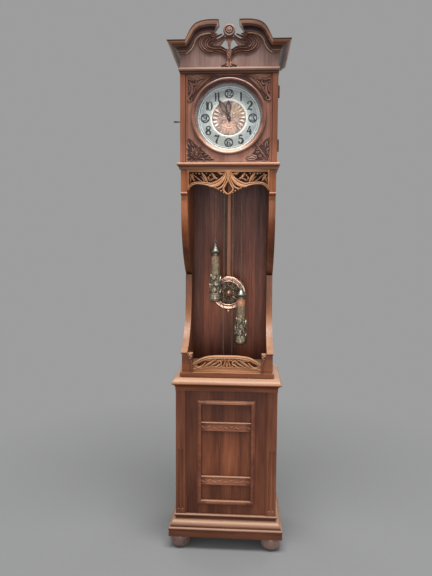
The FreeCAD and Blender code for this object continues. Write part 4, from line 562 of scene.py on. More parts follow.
class Carving:
    """A mesh built of closed strokes, domes and rings, each sunk a little into the surface."""

    def __init__(self, name, place, sink=0.4):
        self.name = name
        self.place = place
        self.sink = sink
        self.points = []
        self.faces = []

    def loops(self, rings, closed):
        """Joins rings of points into one closed skin."""
        start = len(self.points)
        size = len(rings[0])
        for ring in rings:
            self.points.extend(ring)
        last = len(rings) if closed else len(rings) - 1
        for i in range(last):
            a = start + i * size
            b = start + (i + 1) % len(rings) * size
            for j in range(size):
                k = (j + 1) % size
                self.faces.append((a + j, a + k, b + k, b + j))
        if not closed:
            self.faces.append(tuple(range(start + size - 1, start - 1, -1)))
            end = start + (len(rings) - 1) * size
            self.faces.append(tuple(range(end, end + size)))

    def stroke(self, path, width, height, shape="round", closed=False, steps=6, lift=0, sink=None):
        """A raised band along the path. Width is half its breadth, as one value or one for each point."""
        rows = flowing(path, width, closed, steps)
        section = SECTIONS[shape]
        low = lift - (self.sink if sink is None else sink)
        rings = []
        count = len(rows)
        for i, (u, v, w) in enumerate(rows):
            before = rows[i - 1] if (closed or i) else rows[0]
            after = rows[(i + 1) % count] if (closed or i < count - 1) else rows[-1]
            du, dv = after[0] - before[0], after[1] - before[1]
            span = math.hypot(du, dv) or 1
            nu, nv = -dv / span, du / span
            w = max(w, 0.05)
            # Thin ends stand less high
            tall = height * min(1, 0.35 + w / 2.2)
            ring = [self.place(u + nu * w * s, v + nv * w * s, lift + tall * t) for s, t in section]
            ring.append(self.place(u + nu * w, v + nv * w, low))
            ring.append(self.place(u - nu * w, v - nv * w, low))
            rings.append(ring)
        self.loops(rings, closed)

    def mirror_stroke(self, path, *args, **more):
        """The stroke and its mirror image across the middle."""
        self.stroke(path, *args, **more)
        self.stroke([(-u, v) for u, v in path], *args, **more)

    def ring(self, u, v, radius, width, height, **more):
        """A raised ring round (u, v)."""
        path = [around(u, v, radius, 15 * k) for k in range(24)]
        self.stroke(path, width, height, closed=True, steps=2, **more)

    def dome(self, u, v, radius, height, sides=12, lift=0, sink=None):
        """A rounded boss."""
        low = lift - (self.sink if sink is None else sink)
        tiers = [(1, low)]
        tiers += [(share, lift + height * math.sqrt(1 - share * share)) for share in (1, 0.92, 0.72, 0.4, 0.08)]
        self.loops([[self.place(*around(u, v, radius * share, 360 * k / sides), h) for k in range(sides)]
                    for share, h in tiers], False)

    def mirror_dome(self, u, v, *args):
        """The dome and its mirror image across the middle."""
        for side in (-1, 1):
            self.dome(side * u, v, *args)

    def spiral(self, u, v, outer, turn, start, width, height, hand):
        """A scroll that winds in to a bead. Start is the outer end's angle in degrees."""
        count = int(turn * 10) + 2
        path, widths = [], []
        for k in range(count):
            share = k / (count - 1)
            radius = outer * (1 - 0.8 * share)
            path.append(around(u, v, radius, start + 360 * hand * share * turn))
            widths.append(width * (1 - 0.45 * share))
        self.stroke(path, widths, height, steps=2)
        self.dome(u, v, outer * 0.26, height * 1.1)

    def plate(self, outline, low, high):
        """A flat plate between two heights. The outline runs in order round it."""
        self.loops([[self.place(u, v, low) for u, v in outline], [self.place(u, v, high) for u, v in outline]], False)

    def finish(self, body, finish, slot, replaces=(), sharp=42):
        """Makes the mesh, lets it ride on a body and hides the nodes that it replaces. Slot is not used."""
        mesh = bpy.data.meshes.new(self.name)
        mesh.from_pydata([tuple(p) for p in self.points], [], self.faces)
        work = bmesh.new()
        work.from_mesh(mesh)
        bmesh.ops.recalc_face_normals(work, faces=work.faces)
        work.to_mesh(mesh)
        work.free()
        mesh.polygons.foreach_set("use_smooth", [True] * len(mesh.polygons))
        mesh.set_sharp_from_angle(angle=math.radians(sharp))
        made = add_object(self.name, mesh)
        made.data.materials.append(finishes[finish])
        if body is not None:
            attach(made, body)
        if replaces:
            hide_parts(*replaces)
        return made


def turns(count):
    return [2 * math.pi * k / count for k in range(count)]


def around(u, v, radius, degrees):
    return (u + radius * math.cos(math.radians(degrees)), v + radius * math.sin(math.radians(degrees)))


# Pediment

# Points of the left neck's edges, each (x, height)
NECK_HIGH = ((-184, 72), (-181.1, 77.7), (-178.3, 83.5), (-175.5, 89.4), (-171.6, 97.7), (-167.5, 105.9),
    (-162.8, 113.9), (-157.9, 121.1), (-152.3, 127.8), (-145.9, 133.6), (-136.9, 139.5), (-127, 143.9),
    (-116.3, 147.1), (-91, 151), (-65.7, 151.8), (-43, 151))
NECK_LOW = ((-184, 29), (-176.6, 32.8), (-170, 37.6), (-164.3, 43.2), (-159.3, 49.3), (-155, 55.9),
    (-151.6, 63), (-148.6, 71.7), (-145.7, 80.4), (-141.7, 88.2), (-135.7, 94.8), (-127.9, 100), (-119.1, 104.1),
    (-103.4, 108.5), (-87.5, 109.8), (-72.6, 108))
# Shares of the way down from the top edge and of the depth
NECK_DEPTH = 55
NECK_PROFILE = ((0, 1), (0.04, 1), (0.07, 0.985), (0.11, 0.95), (0.17, 0.875), (0.23, 0.78), (0.28, 0.69),
    (0.29, 0.66), (0.3, 0.61), (0.47, 0.605), (0.475, 0.53), (0.5, 0.45), (0.53, 0.375), (0.58, 0.285),
    (0.66, 0.22), (0.76, 0.185), (0.885, 0.168), (0.89, 0.11), (0.985, 0.11), (1, 0))


def neck_mouldings():
    """The necks' smooth mouldings, from the top edge down to the bead, laid over the solids."""
    parts = (("neck_edges", "neck_edge", 0, 4), ("neck_bands", "neck_band", 3, 8),
             ("neck_fillets", "neck_fillet", 7, 10), ("neck_coves", "neck_cove", 9, 17),
             ("neck_beads", "neck_band", 16, 20))
    place = front(PEDIMENT[0] + 0.1, PEDIMENT[1])
    for name, finish, first, last in parts:
        c = Carving(name, place)
        profile = NECK_PROFILE[first:last]
        profile = ((profile[0][0], 0), *profile, (profile[-1][0], 0))
        for side in (-1, 1):
            rings = []
            for high, low in zip(NECK_HIGH, NECK_LOW):
                spots = [([a + (b - a) * share for a, b in zip(high, low)], forward) for share, forward in profile]
                rings.append([place(-side * x, z, NECK_DEPTH * forward) for (x, z), forward in spots])
            c.loops(rings, False)
        c.finish("case", finish, "case_wood", sharp=24)


def pediment_relief():
    c = Carving("pediment_carving", front(*PEDIMENT))
    loops = (
        ([(-51, 110), (-79, 106), (-104, 101), (-120, 86), (-122, 65), (-108, 46), (-82, 34), (-54, 37), (-29, 31),
         (-9, 16), (-3, 3)], [2, 3.6, 5, 6, 6.4, 6, 5.2, 4.6, 4.4, 4, 3], 9),
        ([(-30, 109), (-54, 99), (-76, 92), (-93, 81), (-98, 65), (-89, 52), (-66, 47), (-34, 45), (-12, 30),
         (-5, 14)], [2, 4, 4.8, 5.4, 5.8, 5.4, 4.4, 4.2, 4, 2.6], 9.6),
        ([(-20, 104), (-40, 90), (-58, 81), (-74, 77), (-81, 68), (-75, 60), (-58, 58), (-34, 57), (-10, 42)],
         [2.4, 3.8, 3.8, 3.2, 2.6, 2.2, 2.4, 2.8, 2], 8.2),
    )
    for path, widths, height in loops:
        c.mirror_stroke(path, widths, height, "valley")
    c.mirror_stroke([(-5, 62), (-9, 80), (-22, 90)], [1.4, 2.4, 1], 3.6)
    c.stroke([(0, -24), (0, -14), (0, 6), (0, 28)], [12, 8, 6.6, 9.4], 9, "valley")
    c.stroke([(0, 26), (0, 44), (0, 62), (0, 88)], [6.5, 2.4, 2.6, 7.5], 5, "leaf")
    for side in (-1, 1):
        for reach, rise in ((14, -10), (24, -13), (33, -17)):
            c.stroke([(side * 5, -22), (side * reach * 0.6, rise), (side * reach, -21)], [3, 4.2, 1.2], 8, "leaf")
    c.finish("case", "rosy_carving", "case_wood")

    r = Carving("rosette_petals", front(*PEDIMENT))
    centre = (0, 121.5)
    r.ring(*centre, 20.6, 3.6, 5.4, lift=11, sink=4)
    r.ring(*centre, 10.6, 2.8, 4.8, lift=15.5, sink=4)
    r.dome(*centre, 4.2, 5, lift=16.5, sink=5)
    for angle in range(0, 360, 30):
        r.stroke([around(*centre, 19, angle), around(*centre, 25.4, angle)], [5, 3], 5, "leaf", lift=6, sink=6)
    r.finish("case", "rosy_carving", "case_wood")

    s = Carving("neck_scrolls", front(*SCROLLS))
    for side in (-1, 1):
        s.spiral(side * 66.5, 99, 9.6, 1.5, start=90, width=2.2, height=3.2, hand=-side)
    s.finish("case", "level", "case_wood")


# Door carvings

def corner_leaves(c, rows):
    """Leaves at (x, z), each running off at an angle in degrees for a length."""
    for u, v, angle, reach, wide in rows:
        path = [(u, v), around(u, v, reach * 0.55, angle + 20), around(u, v, reach, angle)]
        c.stroke(path, [wide * 0.25, wide * 0.68, wide * 0.2], 4.8, "ridge")


def door_relief():
    c = Carving("corner_carvings", front(*DOOR))
    ribbons = (
        ([(-178, 358), (-155, 355), (-129, 358), (-106, 361), (-84, 362), (-52, 361)], [4, 5, 5, 4.2, 2.8, 1]),
        ([(-178, 346), (-155, 344), (-129, 347), (-108, 351), (-86, 356), (-60, 359)],
         [3.4, 4.4, 4.6, 4.2, 2.8, 1]),
        ([(-72, 358), (-90, 348), (-108, 334), (-122, 320), (-138, 302), (-146, 290)],
         [1.2, 3.6, 4.6, 4.6, 3.4, 1.2]),
        ([(-104, 348), (-118, 338), (-132, 324), (-146, 306), (-155, 286)], [1.4, 3.6, 4, 3.4, 1.2]),
        ([(-176, 338), (-165, 324), (-160, 306), (-163, 286), (-172, 272), (-178, 262), (-173, 254), (-164, 256),
         (-161, 265), (-167, 269)], [1.6, 3.8, 4.4, 4.4, 4, 3.6, 3.2, 2.8, 2.2, 1.2]),
        ([(-148, 340), (-141, 332), (-146, 321), (-156, 324), (-153, 334)], [1.4, 3, 3.2, 2.6, 1.2]),
        ([(-178, 328), (-172, 314), (-171, 298), (-178, 288)], [1.4, 3.2, 3, 1]),
        ([(-134, 338), (-128, 330)], [1.2, 2.4]),
        ([(-170, 338), (-159, 339), (-150, 336)], [1, 2.6, 1]),
        ([(-152, 314), (-149, 300), (-156, 286), (-164, 276)], [1.2, 2.8, 2.6, 1]),
        ([(-122, 348), (-136, 340), (-146, 346)], [1, 2.6, 1]),
    )
    for side in (1, -1):
        for path, widths in ribbons:
            c.stroke([(side * u, v) for u, v in path], widths, 5, "groove" if max(widths) > 3.6 else "leaf")
    centre = (-140, 32)
    for k, angle in enumerate(range(0, 360, 22)):
        reach = (32, 25, 29)[k % 3]
        bend = around(*centre, reach * 0.6, angle + 10)
        c.stroke([around(*centre, 6, angle), bend, around(*centre, reach, angle - 4)], [1.4, 3, 0.8], 5, "ridge")
    c.ring(*centre, 7, 1.8, 4.6)
    c.dome(*centre, 4.4, 5)
    corner_leaves(c, (
        (-168, 62, 100, 30, 4.6), (-160, 66, 75, 20, 4), (-174, 48, 120, 26, 4.4), (-174, 28, 160, 14, 4),
        (-170, 16, 200, 18, 4.4), (-160, 6, 235, 16, 4.4), (-144, 2, 300, 14, 3.6), (-124, 10, 325, 26, 4.8),
        (-110, 20, 10, 18, 4.2), (-104, 6, 350, 28, 4.8), (-92, 10, 30, 14, 3.6), (-86, 2, 5, 26, 3.6),
        (-126, 50, 40, 14, 3.6), (-150, 62, 130, 16, 3.8), (-178, 80, 70, 18, 3.4), (-108, 32, 60, 10, 3)))
    c.stroke([(104, 78), (126, 58), (146, 33), (168, 4)], [1.4, 3, 3.6, 2.4], 5, "groove")
    c.stroke([(78, 12), (87, 20), (100, 22), (115, 20), (122, 13), (115, 5), (98, 3), (85, 5)], 2.8, 5, closed=True)
    c.stroke([(84, 12), (100, 13), (117, 12)], [2, 5, 2], 3.6, "flat")
    corner_leaves(c, (
        (160, 56, 60, 34, 5), (150, 64, 95, 28, 4.6), (172, 60, 80, 30, 4.4), (166, 40, 40, 18, 4.4),
        (138, 46, 155, 24, 4.6), (126, 58, 175, 22, 4), (174, 26, 95, 18, 4), (150, 26, 215, 22, 4.4),
        (128, 26, 200, 16, 3.6), (160, 16, 230, 16, 4), (172, 10, 290, 12, 3.6), (136, 70, 120, 14, 3.4),
        (176, 82, 90, 16, 3.2), (140, 6, 10, 16, 3.4)))
    for u, v, hand in ((138, 17, 1), (154, 3, -1), (126, 36, -1)):
        c.spiral(u, v, 6.2, 1.1, start=40, width=1.9, height=4.6, hand=hand)
    c.finish("door", "carved", "fret_wood", replaces=["door_carvings"])
    # Near-black plates behind the corner carvings: painted shade in the carving's hollows
    g = Carving("carving_shade_plates", front(*DOOR))
    rim = [around(0, 187, 166.5, angle) for angle in range(24, 157, 6)]
    g.plate([(178, 258), (178, 362), (-178, 362), (-178, 258)] + rim[::-1], -0.3, 0.9)
    g.plate([(-178, 94), (-178, 0), (-66, 0), (-84, 20), (-110, 40), (-134, 60), (-152, 76), (-166, 92)], -0.3, 0.9)
    g.plate([(178, 100), (178, 0), (80, 0), (84, 18), (106, 32), (122, 52), (140, 68), (160, 88)], -0.3, 0.9)
    g.finish("door", "ground", "fret_wood")


# Frets

def upper_fret_relief():
    """The fret under the hood: rails, a fan with a teardrop, leaves and berries."""
    c = Carving("upper_fret_carving", front(*UPPER_FRET), sink=FRET_THICK)
    c.plate([(-181, 98), (181, 98), (181, 110), (-181, 110)], -FRET_THICK, 0.8)
    c.mirror_stroke([(-177, 109), (-177, 67), (-177, 22)], [4, 3.8, 3.6], 2, "flat")
    band = [(-178, 19), (-173, 31), (-160, 43), (-138, 49), (-104, 47), (-76, 42), (-54, 47), (-34, 60),
            (-20, 77), (-12, 98)]
    c.mirror_stroke(band, [4.6, 5.4, 6, 6, 7, 9, 10.5, 9, 6, 3], 4.5, "groove")
    c.mirror_stroke([(-84, 33), (-56, 36), (-34, 47), (-18, 67), (-8, 95)], [1.6, 4.4, 4.4, 3.6, 2], 4)
    c.mirror_stroke([(-52, 25), (-33, 29), (-20, 43), (-11, 65), (-4, 89)], [1.6, 3.8, 3.6, 2.8, 1.6], 4)
    teardrop = [(0, 0), (-17, 12), (-21, 25), (-13, 41), (-5, 57), (-1, 73)]
    c.mirror_stroke(teardrop, [2.6, 4.2, 4.2, 3.6, 3, 1.6], 4.6)
    c.stroke([(0, 51), (0, 67), (0, 89), (0, 107)], [1.2, 3.6, 8, 14], 3, "leaf")
    for u, v in ((-68, 34), (-56, 28), (-43, 22), (-31, 15), (-19, 8), (-9, 3)):
        c.mirror_dome(u, v, 4.2, 4)
    leaves = (
        ([(-148, 57), (-156, 69), (-160, 81), (-154, 93)], [1.6, 5.2, 5.6, 1.4]),
        ([(-112, 51), (-130, 65), (-146, 78), (-160, 89)], [1.6, 2.2, 2, 1.2]),
        ([(-92, 51), (-99, 66), (-108, 81), (-118, 94)], [2.6, 5.2, 5.6, 2]),
        ([(-104, 53), (-110, 67), (-122, 79)], [1.2, 3, 1]),
        ([(-46, 67), (-58, 72), (-66, 83), (-74, 93)], [2.2, 4.4, 5, 1.6]),
        ([(-80, 57), (-72, 65), (-58, 69)], [1.4, 3, 1.2]),
        ([(-82, 60), (-88, 71), (-84, 80)], [1.2, 3.2, 1.2]),
        ([(-20, 89), (-34, 89), (-46, 98)], [2, 4.6, 3]),
        ([(-168, 51), (-166, 65), (-172, 75)], [1.4, 3.2, 1]),
    )
    for path, widths in leaves:
        c.mirror_stroke(path, widths, 4, "leaf")
    for u, v, radius in ((-128, 90, 4), (-141, 91, 3), (-80, 83, 3.6), (-166, 83, 3), (-96, 91, 2.6)):
        c.mirror_dome(u, v, radius, 4)
    c.finish("case", "honey", "fret_wood", replaces=["upper_fret"])


def lower_fret_relief():
    """The fret over the base: an arch on a waved rail, with leaves and scrolls between."""
    c = Carving("lower_fret_carving", front(*LOWER_FRET), sink=FRET_THICK)
    wave = [(158, 34), (140, 24), (116, 19), (90, 22), (60, 24), (30, 22), (0, 20)]
    c.plate([(-158, 0), (158, 0)] + wave + [(-u, v) for u, v in wave[-2::-1]], -FRET_THICK, 0.8)
    c.mirror_stroke([(0, 71), (-52, 70), (-98, 63), (-130, 48), (-157, 32)], [6, 6.4, 7, 7, 4], 4.8, "groove")
    c.mirror_stroke([(0, 21), (-50, 25), (-92, 22), (-116, 19), (-140, 25), (-157, 40)],
        [2.4, 2.6, 3.2, 3.6, 4.4, 3.6], 3.6, "groove")
    c.mirror_stroke([(-157, 12), (-136, 18), (-112, 29), (-96, 48)], [3, 3.6, 3.6, 1.6], 3.6)
    c.mirror_stroke([(-112, 20), (-92, 32), (-70, 47), (-50, 62)], [1.6, 4.6, 5, 2.4], 4.2, "leaf")
    c.mirror_stroke([(-84, 22), (-66, 33), (-48, 44), (-38, 60)], [1.4, 3.8, 3.8, 1.8], 4.2, "leaf")
    c.mirror_stroke([(-52, 22), (-40, 32), (-26, 40), (-30, 53), (-40, 51), (-39, 42)],
        [1.6, 3.4, 3.8, 3.6, 2.8, 1.2], 4.2)
    c.mirror_stroke([(-14, 20), (-13, 33), (-8, 48), (-12, 64)], [2.6, 3.6, 3.4, 2.6], 4.2, "leaf")
    c.stroke([(0, 20), (0, 34), (0, 50)], [2.2, 6, 1.2], 4.4, "leaf")
    for side in (-1, 1):
        c.dome(side * 24, 28, 4.4, 4)
        c.dome(side * 20, 57, 4.6, 4)
    c.finish("case", "honey", "fret_wood", replaces=["lower_fret"])


def block_scrolls():
    c = Carving("block_scrolls", front(*BLOCKS))
    for side in (-1, 1):
        c.spiral(side * 166, 72, 10, 1.4, start=90, width=2.8, height=6, hand=-side)
        c.stroke([(side * 168, 62), (side * 162, 44), (side * 161, 22), (side * 162, 2)], [1.8, 3.2, 2.8, 1.6], 5)
    c.finish("case", "warm_level", "case_wood")


def bar_carvings():
    """Faint leafage along the two cross bars of the panel."""
    c = Carving("bar_carvings", front(*BARS))
    for low in (0, 257):
        for k in range(9):
            u = -104 + 26 * k
            lean = 1 if k % 2 else -1
            c.stroke([(u - 11, low + 18 - 3 * lean), (u, low + 18 + 3 * lean), (u + 9, low + 18 + 8 * lean)],
                [0.8, 2.6, 0.8], 0.8, "leaf")
            c.dome(u + 13, low + 18 - 4 * lean, 2, 0.8)
    c.finish("case", "edging", "case_wood")


# Dial and hands

# Strokes of each figure in hundredths of its height: the points, half the breadth at each, and whether it closes
DIGITS = {
    "0": (([(0, 50), (-24, 30), (-28, 0), (-24, -30), (0, -50), (24, -30), (28, 0), (24, 30)],
     [2.5, 7, 8.5, 7, 2.5, 7, 8.5, 7], True),),
    "1": (([(-13, 34), (-2, 50), (0, 20), (0, -50)], [2, 5.5, 7.5, 6], False),),
    "2": (([(-16, 24), (-26, 34), (-12, 48), (10, 48), (24, 30), (14, 4), (-10, -20), (-26, -44), (-2, -36),
     (18, -46), (28, -36)], [7, 5, 3.5, 5, 8.5, 7.5, 5, 3.5, 6, 6, 2.5], False),),
    "3": (([(-14, 26), (-24, 34), (-10, 48), (12, 44), (18, 24), (0, 5), (22, -12), (22, -36), (0, -50),
     (-24, -38), (-16, -26)], [7, 4.5, 3.5, 6, 7, 3, 8, 8, 4, 4.5, 7], False),),
    "4": (([(6, 50), (-10, 16), (-30, -16), (0, -12), (30, -18)], [6, 4.5, 4, 5, 2.5], False),
     ([(10, 18), (8, -10), (10, -50)], [4, 8, 7], False)),
    "5": (([(24, 42), (6, 46), (-14, 42), (-18, 8), (6, 14), (24, -6), (20, -36), (-4, -50), (-24, -38),
     (-14, -26)], [3, 6, 6, 3.5, 5, 8.5, 8.5, 4, 4.5, 7], False),),
    "6": (([(12, 34), (20, 44), (0, 46), (-20, 20), (-26, -14), (-14, -44), (8, -50), (24, -30), (16, -6),
     (-4, -2), (-14, -16)], [7, 4, 3.5, 6.5, 9, 6, 3.5, 7.5, 6, 3.5, 2], False),),
    "7": (([(-26, 26), (-20, 46), (0, 38), (16, 40), (28, 48), (10, 12), (-4, -20), (-2, -50)],
     [3, 5, 7, 6, 3, 5, 8.5, 7], False),),
    "8": (([(0, 4), (-20, 20), (-14, 42), (8, 49), (22, 34), (14, 14), (-10, -2), (-25, -24), (-12, -46),
     (12, -48), (25, -28), (16, -8)], [6, 6, 4, 3.5, 6, 5, 7.5, 7, 4.5, 4.5, 7.5, 6], True),),
}
DIGITS["9"] = tuple(([(-u, -v) for u, v in path], widths, closed) for path, widths, closed in DIGITS["6"])


def numeral(c, text, u, v, high):
    """Upright figures round (u, v)."""
    unit = high / 100
    apart = high * (0.36 if "1" in text and text != "12" else 0.44)
    for k, figure in enumerate(text):
        middle = u + (k - (len(text) - 1) / 2) * apart
        slim = 0.82 if len(text) > 1 else 1
        for path, widths, closed in DIGITS[figure]:
            points = [(middle + a * unit * slim, v + b * unit) for a, b in path]
            c.stroke(points, [w * unit * slim * 1.55 for w in widths], 0.5, "flat", closed=closed, steps=5)


def dial_relief():
    c = Carving("dial_numerals", front(*DIAL), sink=0.1)
    for hour in range(1, 13):
        angle = 90 - 30 * hour
        u, v = around(0, 0, 105, angle)
        if hour % 3:
            numeral(c, str(hour), u, v, 37)
        else:
            numeral(c, str(hour), u, v, 24)
            c.ring(u, v, 17.6, 2.6, 0.5, shape="flat")
            for part in range(4):
                turn = 45 + 90 * part
                c.stroke([around(u, v, 15.6, turn - 22), around(u, v, 13.4, turn), around(u, v, 15.6, turn + 22)],
                    [0.5, 1.4, 0.5], 0.5, "flat")
        c.dome(*around(0, 0, 131, angle), 2.8, 0.9)
    for minute in range(60):
        if minute % 5:
            c.dome(*around(0, 0, 131, 6 * minute), 1.1, 0.5, sides=8)
    c.finish("case", "numeral", "dark_bronze")

    s = Carving("dial_beads", front(*DIAL), sink=0.1)
    for radius, width, height in ((134.5, 2.4, 1.8), (126, 0.8, 0.8), (78, 2.6, 1.8), (83, 0.8, 0.8)):
        s.ring(0, 0, radius, width, height)
    s.finish("case", "pale_silver", "silvered_metal")

    p = Carving("dial_centre_petals", front(DIAL[0] + 0.5, DIAL[1]), sink=0.1)
    for k in range(24):
        angle = 15 * k
        p.stroke([around(0, 0, 44, angle), around(0, 0, 57, angle + 1.5), around(0, 0, 71, angle)],
            [1.4, 4.4, 6.6], 2.4, "ridge")
    p.ring(0, 0, 42, 1.8, 1.8)
    for k in range(6):
        angle = 60 * k + 30
        for lean in (-16, 16):
            p.stroke([around(0, 0, 14, angle), around(0, 0, 26, angle + lean), around(0, 0, 38, angle)],
                [0.8, 3, 0.8], 1.8, "leaf")
        p.dome(*around(0, 0, 37, angle + 30), 2.6, 1.8)
    p.ring(0, 0, 12.5, 1.4, 1.6)
    p.finish("case", "dial_copper", "copper")


def pierced_hand(name, body, y, length, wide, degrees, hub, node, nut=False):
    """A hand of open whiplash loops. Degrees run clockwise from 12."""
    turn = math.radians(degrees)

    def place(u, v, h):
        return Vector((u * math.cos(turn) + v * math.sin(turn), y - h,
            DIAL[1] - u * math.sin(turn) + v * math.cos(turn))) * MM

    c = Carving(name, place, sink=1.2)
    c.ring(0, 0, hub + 1.6, 2.1, 0.2, shape="flat")
    for side in (-1, 1):
        c.stroke([(side * 1.6, hub + 1.5), (side * 2.4, length * 0.28), (side * wide * 0.9, length * 0.48),
            (side * wide, length * 0.7), (side * wide * 0.45, length * 0.9), (0, length)],
            [2, 1.9, 2, 2.2, 2, 0.7], 0.2, "flat")
    c.stroke([(0, length * 0.74), (0, length * 0.88), (0, length)], [1.2, 2.2, 0.6], 0.2, "flat")
    c.stroke([(0, -hub - 1), (0, -hub - 6), (0, -17.5)], [2, 3.4, 1.2], 0.2, "flat")
    if nut:
        c.ring(0, 0, 3.4, 1.7, 3, sink=0)
        c.dome(0, 0, 2.6, 3.6, sink=0.5)
    c.finish(body, "bronze", "dark_bronze", replaces=[node])


# Weights and bob

WEIGHT_PROFILE = ((0, 15.8), (9.5, 27.1), (15, 29), (31.3, 29), (35.4, 27.1), (40.8, 24.6), (117, 24.6),
    (127.8, 21.4), (136, 20.2), (213.5, 19.5), (214.9, 15.8), (221.7, 15.8), (227, 22.1), (231.2, 24.6),
    (238, 23.9), (254.3, 5), (261, 4.7))


def turned(c, x, y, profile, sides=28):
    """A closed turned piece round the upright axis at x, y, through (height, radius) points."""
    c.loops([[Vector((x + r * math.cos(a), y + r * math.sin(a), z)) * MM for a in turns(sides)]
             for z, r in profile], False)


def weight_relief(name, side):
    bottom = WEIGHT_BOTTOMS[name]
    c = Carving(name + "_weight_relief", wrapped(side * WEIGHT_X, CHAIN_Y, bottom, WEIGHT_PROFILE))
    full = 2 * math.pi * max(r for _, r in WEIGHT_PROFILE)
    for k in range(20):
        u = full * k / 20
        c.stroke([(u, 134), (u, 172), (u, 211)], [3, 3.6, 3.4], 0.9, sink=0.3, steps=2)
    for k in range(6):
        u = full * k / 6
        c.stroke([(u, 44), (u + 10, 56), (u + 4, 72), (u - 8, 86), (u - 2, 102), (u + 9, 116), (u + 3, 130)],
            [2.2, 4.8, 4.2, 4.8, 4.4, 3.4, 1], 4.2, "leaf")
        c.stroke([(u + 10, 56), (u + 17, 68), (u + 14, 80), (u + 6, 78)], [1.4, 3.4, 3, 1.4], 3.6)
        c.stroke([(u - 8, 86), (u - 16, 96), (u - 14, 108), (u - 6, 106)], [1.4, 3.4, 3, 1.4], 3.6)
        c.dome(u + 10, 71, 3, 2.8)
        c.dome(u - 10, 100, 3, 2.8)
        c.dome(u + 16, 92, 3.6, 3.4)
        c.dome(u + 14, 124, 3.2, 3.2)
        c.stroke([(u + 16, 42), (u + 17, 52), (u + 16, 62)], [1.8, 4.4, 1], 3.4, "leaf")
    for v, width, height in ((39, 2.4, 2.4), (126, 1.8, 1.6), (131, 1.2, 1.4), (212, 1.6, 1.4), (216.5, 1.2, 1)):
        c.stroke([(full * k / 24, v) for k in range(24)], width, height, closed=True, steps=2, sink=0.8)
    bell = ((236, 24.2), (240, 22.2), (244, 19), (249, 14.4), (254, 10.6), (259, 8.2), (263, 7.4), (266, 8),
        (268.5, 6.8), (270, 4.8))
    turned(c, side * WEIGHT_X, CHAIN_Y, [(bottom + v, r) for v, r in bell])
    c.finish(name + "_weight_and_chain", name + "_weight", "weight_bronze")


def bob_relief():
    centre = (0, 0)
    c = Carving("bob_openwork", front(*BOB))
    for k in range(6):
        a = 60 * k + 30
        for lean in (1, -1):
            path = [around(*centre, r, a + turn * lean) for r, turn in ((15, 0), (27, 18), (39, 6), (51, 22))]
            c.stroke(path, [1.8, 4, 3.6, 1.8], 4.2, "leaf")
        u, v = around(*centre, 43, a)
        c.ring(u, v, 5.6, 1.8, 3.6)
        c.dome(u, v, 2.6, 3.6)
        c.dome(*around(*centre, 30, a + 30), 3.8, 3.6)
    c.finish("pendulum", "openwork", "dark_bronze")
    r = Carving("bob_beads", front(*BOB))
    r.ring(*centre, 14.5, 1.6, 3.6)
    r.ring(*centre, 52.4, 1.4, 4.4)
    r.dome(*centre, 11.5, 12.5)
    r.finish("pendulum", "bob", "copper")


# Chains

CHAIN_TOP = 1962.26
WHEEL_X, WHEEL_RADIUS = 40, 20
LINK_HALF, LINK_SIDE, LINK_WIRE = 3.7, 1.9, 0.75
PITCH = 2 * (LINK_HALF - LINK_WIRE)


def link_rings(at, along, across):
    """One oval link of round wire."""
    normal = along.cross(across)
    rings = []
    for a in turns(12):
        middle = at + along * (LINK_HALF * math.sin(a)) + across * (LINK_SIDE * math.cos(a))
        out = (along * (math.sin(a) * 0.75) + across * math.cos(a)).normalized()
        rings.append([(middle + (out * math.cos(b) + normal * math.sin(b)) * LINK_WIRE) * MM for b in turns(6)])
    return rings


def chain(name, centres):
    """Links through the centres, each turned a quarter from the last. A centre is a point and its direction."""
    c = Carving(name, None)
    for k, (at, along) in enumerate(centres):
        side = Vector((0, 1, 0)) if abs(along.y) < 0.5 else Vector((1, 0, 0))
        across = side if k % 2 else along.cross(side).normalized()
        c.loops(link_rings(at, along, across), True)
    return c


def chains():
    for side, name in ((-1, "left"), (1, "right")):
        for kind, x, body in (("weight", side * WEIGHT_X, name + "_weight_and_chain"),
                              ("free", side * FREE_X, name + "_free_end")):
            node = name + "_" + kind + "_chain"
            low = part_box(node)[0].z / MM
            count = int((CHAIN_TOP - low) / PITCH) + 1
            step = (CHAIN_TOP - low) / count
            centres = [(Vector((x, CHAIN_Y, CHAIN_TOP - step * (k + 0.5))), Vector((0, 0, 1))) for k in range(count)]
            links = chain(node.replace("_chain", "_links"), centres)
            made = links.finish(None, "chain", "chain_brass", replaces=[node])
            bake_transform(made)
        count = int(math.pi * WHEEL_RADIUS / PITCH)
        centres = []
        for k in range(count):
            a = math.pi * (k + 0.5) / count
            x, z = around(side * WHEEL_X, CHAIN_TOP, WHEEL_RADIUS, math.degrees(a))
            centres.append((Vector((x, CHAIN_Y, z)), Vector((-math.sin(a), 0, math.cos(a)))))
        chain(name + "_wheel_links", centres).finish("case", "chain", "chain_brass")


# Gong

